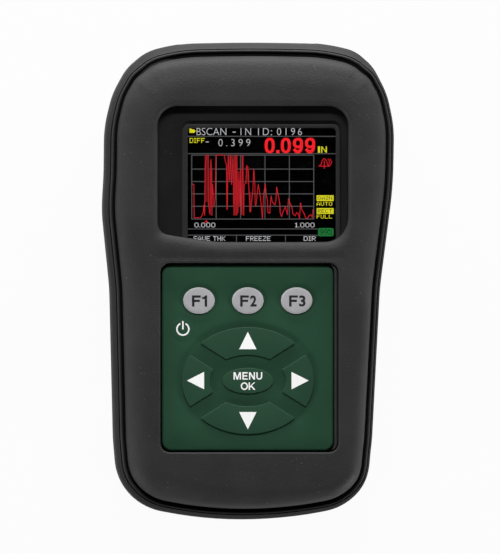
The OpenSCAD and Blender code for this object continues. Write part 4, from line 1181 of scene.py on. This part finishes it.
def front_height(x, y):
    """Height of the boot's front: pad, lips of its two windows, and the dip of the bar between them."""
    d, inwards = nearest(x, y, outline_np)
    s, away = nearest(x, y, window_np)
    low = ramp(-away[1], low_turn)
    z = shoulder(d, tightness(-inwards, y))
    z -= lip(s, lip_w + low_lip_w * low, lip_drop + low_lip_drop * low)
    k, _ = nearest(x, y, hole_np)
    z -= lip(k, edge_lip_w, edge_lip_drop)
    z -= dip * math.exp(-((y - dip_y) / dip_w) ** 2) * smooth((dip_half - abs(x - dip_x)) / dip_fade)
    return z


boot = bmesh.new()
matt_and_shade = boot.verts.layers.float.new("matt_and_shade")
back_r = 5.0
bead_at, bead_half, bead_h = (1.85, 32.2), 0.43, 0.62
shoulder_steps = (3.0, 3.04, 3.14, 3.3, 3.55, 3.9, 4.35, 4.9, 5.5, 6.2, 7.0, 7.8, 8.6, 9.4)
# Section of the skin as insets and heights: round back edge, side, notch, bead, groove and shoulder
skin = [(back_r * (1 - math.sin(t)), back_r * (1 - math.cos(t))) for t in quarter(0, 90, 9)]
skin += [(0, 9), (0, 13), (0, 16.2), (0.1, 20), (0.24, 23.2), (0.4, 26.2), (0.66, 28.8), (0.96, 30.9),
         (1.08, 31.8), (1.13, 32.08), (1.19, 32.04), (1.23, 31.65), (1.41, 31.65)]
skin += [(bead_at[0] - bead_half * math.cos(t), bead_at[1] + bead_h * math.sin(t))
         for t in quarter(15, 165, 8)]
skin += [(2.3, 32.12), (2.37, 32.02), (2.5, 32.0), (2.7, 32.0), (2.86, 32.04), (2.96, 32.12)]
skin += [(d, shoulder(d, 0.0)) for d in shoulder_steps]
draw_zone, lift_zone, lift_fade = (26.6, 31.6), (0.9, 1.2), 5.0
upright = 0.95
notch_from, bead_from, bead_to = 1.2, 1.42, 2.28
# How matt the skin is, and how far painted shade darkens it: most on the side, in the notch and groove,
# more at the foot than the head, and on the bead's lower side
back_matt_shade, bead_matt_shade, band_matt_shade, head_less_shade, foot_more_shade = 0.45, 0.8, 0.9, 0.7, 0.1
side_zone = (16.0, 24.0)
back_ring = front_ring = ring(boot, inset(skin_outline, skin[0][0]), skin[0][1])
for d, z in skin[1:]:
    share = ramp(z, draw_zone)
    pts = [p.lerp(q, share) for p, q in zip(inset(skin_outline, d), inset(front_outline, d))]
    if back_r < z < draw_zone[0]:
        pts = [p.lerp(q, upright * head) for p, q, head in zip(pts, skin_outline, head_share)]
    share = ramp(d, (bead_to, shoulder_from))
    pts = [p.lerp(q, share) for p, q in zip(pts, inset(pad_top_outline, d))]
    new = ring(boot, pts, z)
    lifted = head_lift * ramp(d, lift_zone) * (1 - smooth((d - shoulder_from) / lift_fade))
    for v, n, head in zip(new, skin_normals, head_share):
        if d >= shoulder_from and z > back_r:
            v.co.z = shoulder(d, tightness(n, v.co.y))
        v.co.z += lifted * head
        if z < back_r:
            v[matt_and_shade] = back_matt_shade * z / back_r
        elif d < notch_from:
            end_matt_shade = band_matt_shade - (head_less_shade if n.y > 0 else foot_more_shade) * n.y
            v[matt_and_shade] = end_matt_shade * (1 + ramp(z, side_zone)) / 2
        elif d < bead_from:
            v[matt_and_shade] = 1.0
        elif d < bead_to:
            v[matt_and_shade] = bead_matt_shade * smooth(-n.y)
        elif d < shoulder_from:
            v[matt_and_shade] = 1.0
    strip(boot, front_ring, new)
    front_ring = new


def lip_rings(bm, pts, steps, walls):
    """Rings of a window from its foot up the walls and round the lip; gives the foot and the last."""
    last = foot_ring = [bm.verts.new(at) for at in walls[0]]
    for wall in walls[1:]:
        new = [bm.verts.new(at) for at in wall]
        strip(bm, last, new)
        last = new
    for s in steps:
        new = [bm.verts.new((p.x, p.y, front_height(p.x, p.y))) for p in inset(pts, -s)]
        strip(bm, last, new)
        last = new
    return foot_ring, last


z_skin = 34.7
window_steps = (0.0, 0.04, 0.14, 0.3, 0.52, 0.8, 1.15, 1.55, 2.0, 2.4)
window_foot, window_lip = lip_rings(boot, window, window_steps, [[(p.x, p.y, z_skin) for p in window]])
# The keypad's hole has a ledge along its right side: how far the ledge stands in, its height, and
# the wall's height elsewhere
ledge = [(1.15, z_skin, z_skin), (1.15, 36.75, 35.0), (1.08, 36.95, 35.3), (0.9, 37.02, 35.6),
         (0.46, 37.02, 35.9), (0.33, 36.9, 36.1), (0.29, 36.1, 36.25), (0.1, 36.0, 36.4),
         (0.02, 36.3, 36.55), (0.0, 36.8, 36.8)]
ledge_turn = (0.2, 0.8)
hole_steps = (0.0, 0.03, 0.09, 0.18, 0.3, 0.45, 0.7)
hole_walls = []
for reach, z_right, z_plain in ledge:
    wall = []
    for p, n in zip(hole, outwards(hole)):
        share = ramp(n.x, ledge_turn)
        wall.append((p.x - share * reach, p.y, z_plain + share * (z_right - z_plain)))
    hole_walls.append(wall)
hole_foot, hole_lip = lip_rings(boot, hole, hole_steps, hole_walls)
# Points of the front's mesh: staggered rows inside the last ring, clear of all rims
step, half_columns, half_rows, clear_squared = 0.9, 46, 76, 0.3
spots = np.array([(column * step + (step / 2 if row % 2 else 0.0), row * step)
                  for column in range(-half_columns, half_columns + 1)
                  for row in range(-half_rows, half_rows + 1)])
limit = np.array([tuple(v.co.xy) for v in front_ring])
keep = inside(spots, limit)
for loop in (window_lip, hole_lip):
    keep &= ~inside(spots, np.array([tuple(v.co.xy) for v in loop]))
rims = np.array([tuple(v.co.xy) for loop in (front_ring, window_lip, hole_lip) for v in loop])
spots = [tuple(p) for p in spots[keep] if np.min(np.sum((rims - p) ** 2, axis=1)) > clear_squared]
fill(boot, front_ring, [window_lip, hole_lip], spots, front_height)

# Lining that lies on the case with a small fit, and the window over the battery door
z_case, case_in, fit = 3.0, 3.0, 0.1
case_r, edge_w, edge_h = 4.5, 6.0, 6.5
turns = quarter(0, 90, 6)
lining = [(case_in + case_r - (case_r + fit) * math.sin(t),
           z_case + case_r - (case_r + fit) * math.cos(t)) for t in turns]
lining += [(case_in + edge_w - (edge_w + fit) * math.cos(t),
            z_face - edge_h + (edge_h + fit) * math.sin(t)) for t in turns]
lining_back = ring(boot, inset(boot_outline, lining[0][0]), lining[0][1])
lining_front = loft(boot, boot_outline, lining[1:], lining_back)
fill(boot, lining_front, [window_foot, hole_foot])
door_w, door_l, door_r, door_y = 51.9, 68.1, 3.0, -19.55
door_hole = spaced(round_box(door_w, door_l, door_r, (0.0, door_y), 8), outline_step)
door_edge = 0.8
door_start = ring(boot, inset(door_hole, -door_edge), 0.0)
door_rim = loft(boot, door_hole, [(-door_edge * (1 - math.sin(t)), door_edge * (1 - math.cos(t)))
                                  for t in turns[1:]], door_start)
door_top = ring(boot, door_hole, lining[0][1])
strip(boot, door_rim, door_top)
fill(boot, lining_back, [door_top])
fill(boot, back_ring, [door_start])

rubber = moulded("boot_rubber", (0.0235, 0.0235, 0.0238), (0.0300, 0.0300, 0.0303),
                 (0.5, 0.6), 2200, 8e-5, dust=0.2, drift=70, specular=0.09)
# Painted shade: the mesh's value darkens the skin's colour on the side walls, in the notch and the
# groove, on the bead's lower side, more at the foot and less at the head; the same value makes it
# duller.
shade_by(rubber, "matt_and_shade", 0.12)
rubber_tree = rubber.node_tree
rubber_gloss = rubber_tree.nodes["Principled BSDF"].inputs["Roughness"]
dull = add_node(rubber_tree, "ShaderNodeMix", B=0.92)
band_mask = add_node(rubber_tree, "ShaderNodeAttribute", {"attribute_name": "matt_and_shade"})
rubber_tree.links.new(rubber_gloss.links[0].from_socket, dull.inputs["A"])
wire(rubber_tree, band_mask, "Fac", dull, "Factor")
rubber_tree.links.new(dull.outputs["Result"], rubber_gloss)
boot_sharp = 50
boot_piece = new_piece("boot", boot, rubber, boot_sharp)
# The slot over the sockets is cut through the head of the finished skin
slot_cut = bmesh.new()
slot_w, slot_h, slot_z, slot_r = 42.4, 13.4, 19.7, 2.5
slot_outline = round_box(slot_w, slot_h, slot_r, (0.0, slot_z), 6)
slot_foot, slot_flare, slot_mouth = 63.0, 0.9, 68.9
slot_spread, slot_end = 2.4, 71.0
depths = [(0.0, slot_foot), (0.0, slot_mouth - slot_flare)]
depths += [(-slot_flare * (1 - math.cos(t)), slot_mouth - slot_flare * (1 - math.sin(t)))
           for t in quarter(15, 75, 4)]
depths += [(-slot_spread, slot_end)]
cut_last = None
for d, y in depths:
    new = [slot_cut.verts.new((p.x, y, p.y)) for p in inset(slot_outline, d)]
    if cut_last:
        strip(slot_cut, cut_last, new)
    else:
        slot_cut.faces.new(new)
    cut_last = new
slot_cut.faces.new(cut_last)
cutter = new_piece("slot_cutter", slot_cut, rubber)
cut = boot_piece.modifiers.new("socket_slot", "BOOLEAN")
cut.operation = "DIFFERENCE"
cut.solver = "EXACT"
cut.object = cutter
bpy.context.view_layer.update()
whole = boot_piece.data
finished = boot_piece.evaluated_get(bpy.context.evaluated_depsgraph_get())
boot_piece.data = bpy.data.meshes.new_from_object(finished)
boot_piece.modifiers.clear()
bpy.data.meshes.remove(whole)
bpy.data.objects.remove(cutter)
boot_piece.data.name = "boot"
boot_piece.data.shade_smooth()
boot_piece.data.set_sharp_from_angle(angle=math.radians(boot_sharp))
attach(boot_piece, "gauge")
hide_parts("rubber_boot")


# Studio: a white sweep that the gauge lies on, soft boxes round it, and a long lens straight above.
# The lens stands a little to the left of the gauge, as it did for the photograph.
def background_rays(tree):
    """Value that is 1 for rays that show the background: to the lens, mirrored or through glass."""
    path = add_node(tree, "ShaderNodeLightPath")
    total = path.outputs["Is Camera Ray"]
    for kind in ("Is Glossy Ray", "Is Transmission Ray"):
        either = add_node(tree, "ShaderNodeMath", {"operation": "MAXIMUM"})
        tree.links.new(total, either.inputs[0])
        wire(tree, path, kind, either, 1)
        total = either.outputs[0]
    return total


sweep, sweep_tree, sweep_shader = new_material("white_sweep")
sweep_shader.inputs["Base Color"].default_value = (0.50, 0.50, 0.50, 1)
sweep_shader.inputs["Roughness"].default_value = 0.9
sweep_white = add_node(sweep_tree, "ShaderNodeEmission", Strength=1.0)
sweep_share = add_node(sweep_tree, "ShaderNodeMath", {"operation": "MULTIPLY"})
sweep_share.inputs[1].default_value = 0.95
sweep_mix = add_node(sweep_tree, "ShaderNodeMixShader")
sweep_tree.links.new(background_rays(sweep_tree), sweep_share.inputs[0])
wire(sweep_tree, sweep_share, 0, sweep_mix, "Fac")
wire(sweep_tree, sweep_shader, "BSDF", sweep_mix, 1)
wire(sweep_tree, sweep_white, "Emission", sweep_mix, 2)
sweep_tree.links.new(sweep_mix.outputs["Shader"], sweep_tree.nodes["Material Output"].inputs["Surface"])
floor = bmesh.new()
bmesh.ops.create_grid(floor, x_segments=8, y_segments=8, size=3000)
for v in floor.verts:
    v.co.z = -0.05
floor_piece = new_piece("sweep_floor", floor, sweep)

world = bpy.data.worlds.new("studio")
bpy.context.scene.world = world
world.use_nodes = True
dim = world.node_tree.nodes["Background"]
dim.inputs["Color"].default_value = (1, 1, 1, 1)
dim.inputs["Strength"].default_value = 0.05


def soft_box(name, place, target, size, power):
    """Adds a rectangular lamp that shines on a target."""
    light = bpy.data.lights.new(name, "AREA")
    light.shape = "RECTANGLE"
    light.size, light.size_y = size
    light.energy = power
    lamp = bpy.data.objects.new(name, light)
    lamp.location = place
    lamp.rotation_euler = (Vector(target) - Vector(place)).to_track_quat("-Z", "Y").to_euler()
    bpy.context.scene.collection.objects.link(lamp)


soft_box("top_box", (0.0, 0.58, 0.64), (0.0, 0.0, 0.03), (0.6, 0.12), 6.5)
soft_box("head_strip", (0.0, 0.60, 0.10), (0.0, 0.05, 0.035), (0.8, 0.12), 9.0)
soft_box("left_box", (-0.62, -0.42, 0.15), (0.0, -0.02, 0.03), (0.4, 0.24), 5.0)
soft_box("right_strip", (0.58, -0.46, 0.09), (0.0, -0.02, 0.03), (0.1, 0.14), 6.5)

camera = bpy.data.cameras.new("camera")
camera.sensor_width = 36.0
photo_h, px_per_mm = 554, 3.463
frame_h = photo_h / px_per_mm
distance = 4500.0
camera.lens = camera.sensor_width * distance / frame_h
lean = math.radians(2.2)
aim = Vector((1.08, 1.14, 25.0))
back = Vector((-math.sin(lean), 0.0, math.cos(lean)))
eye = bpy.data.objects.new("camera", camera)
eye.location = (aim + back * distance) * mm
eye.rotation_euler = (0.0, -lean, 0.0)
camera.clip_end = 20.0
bpy.context.scene.collection.objects.link(eye)
bpy.context.scene.camera = eye
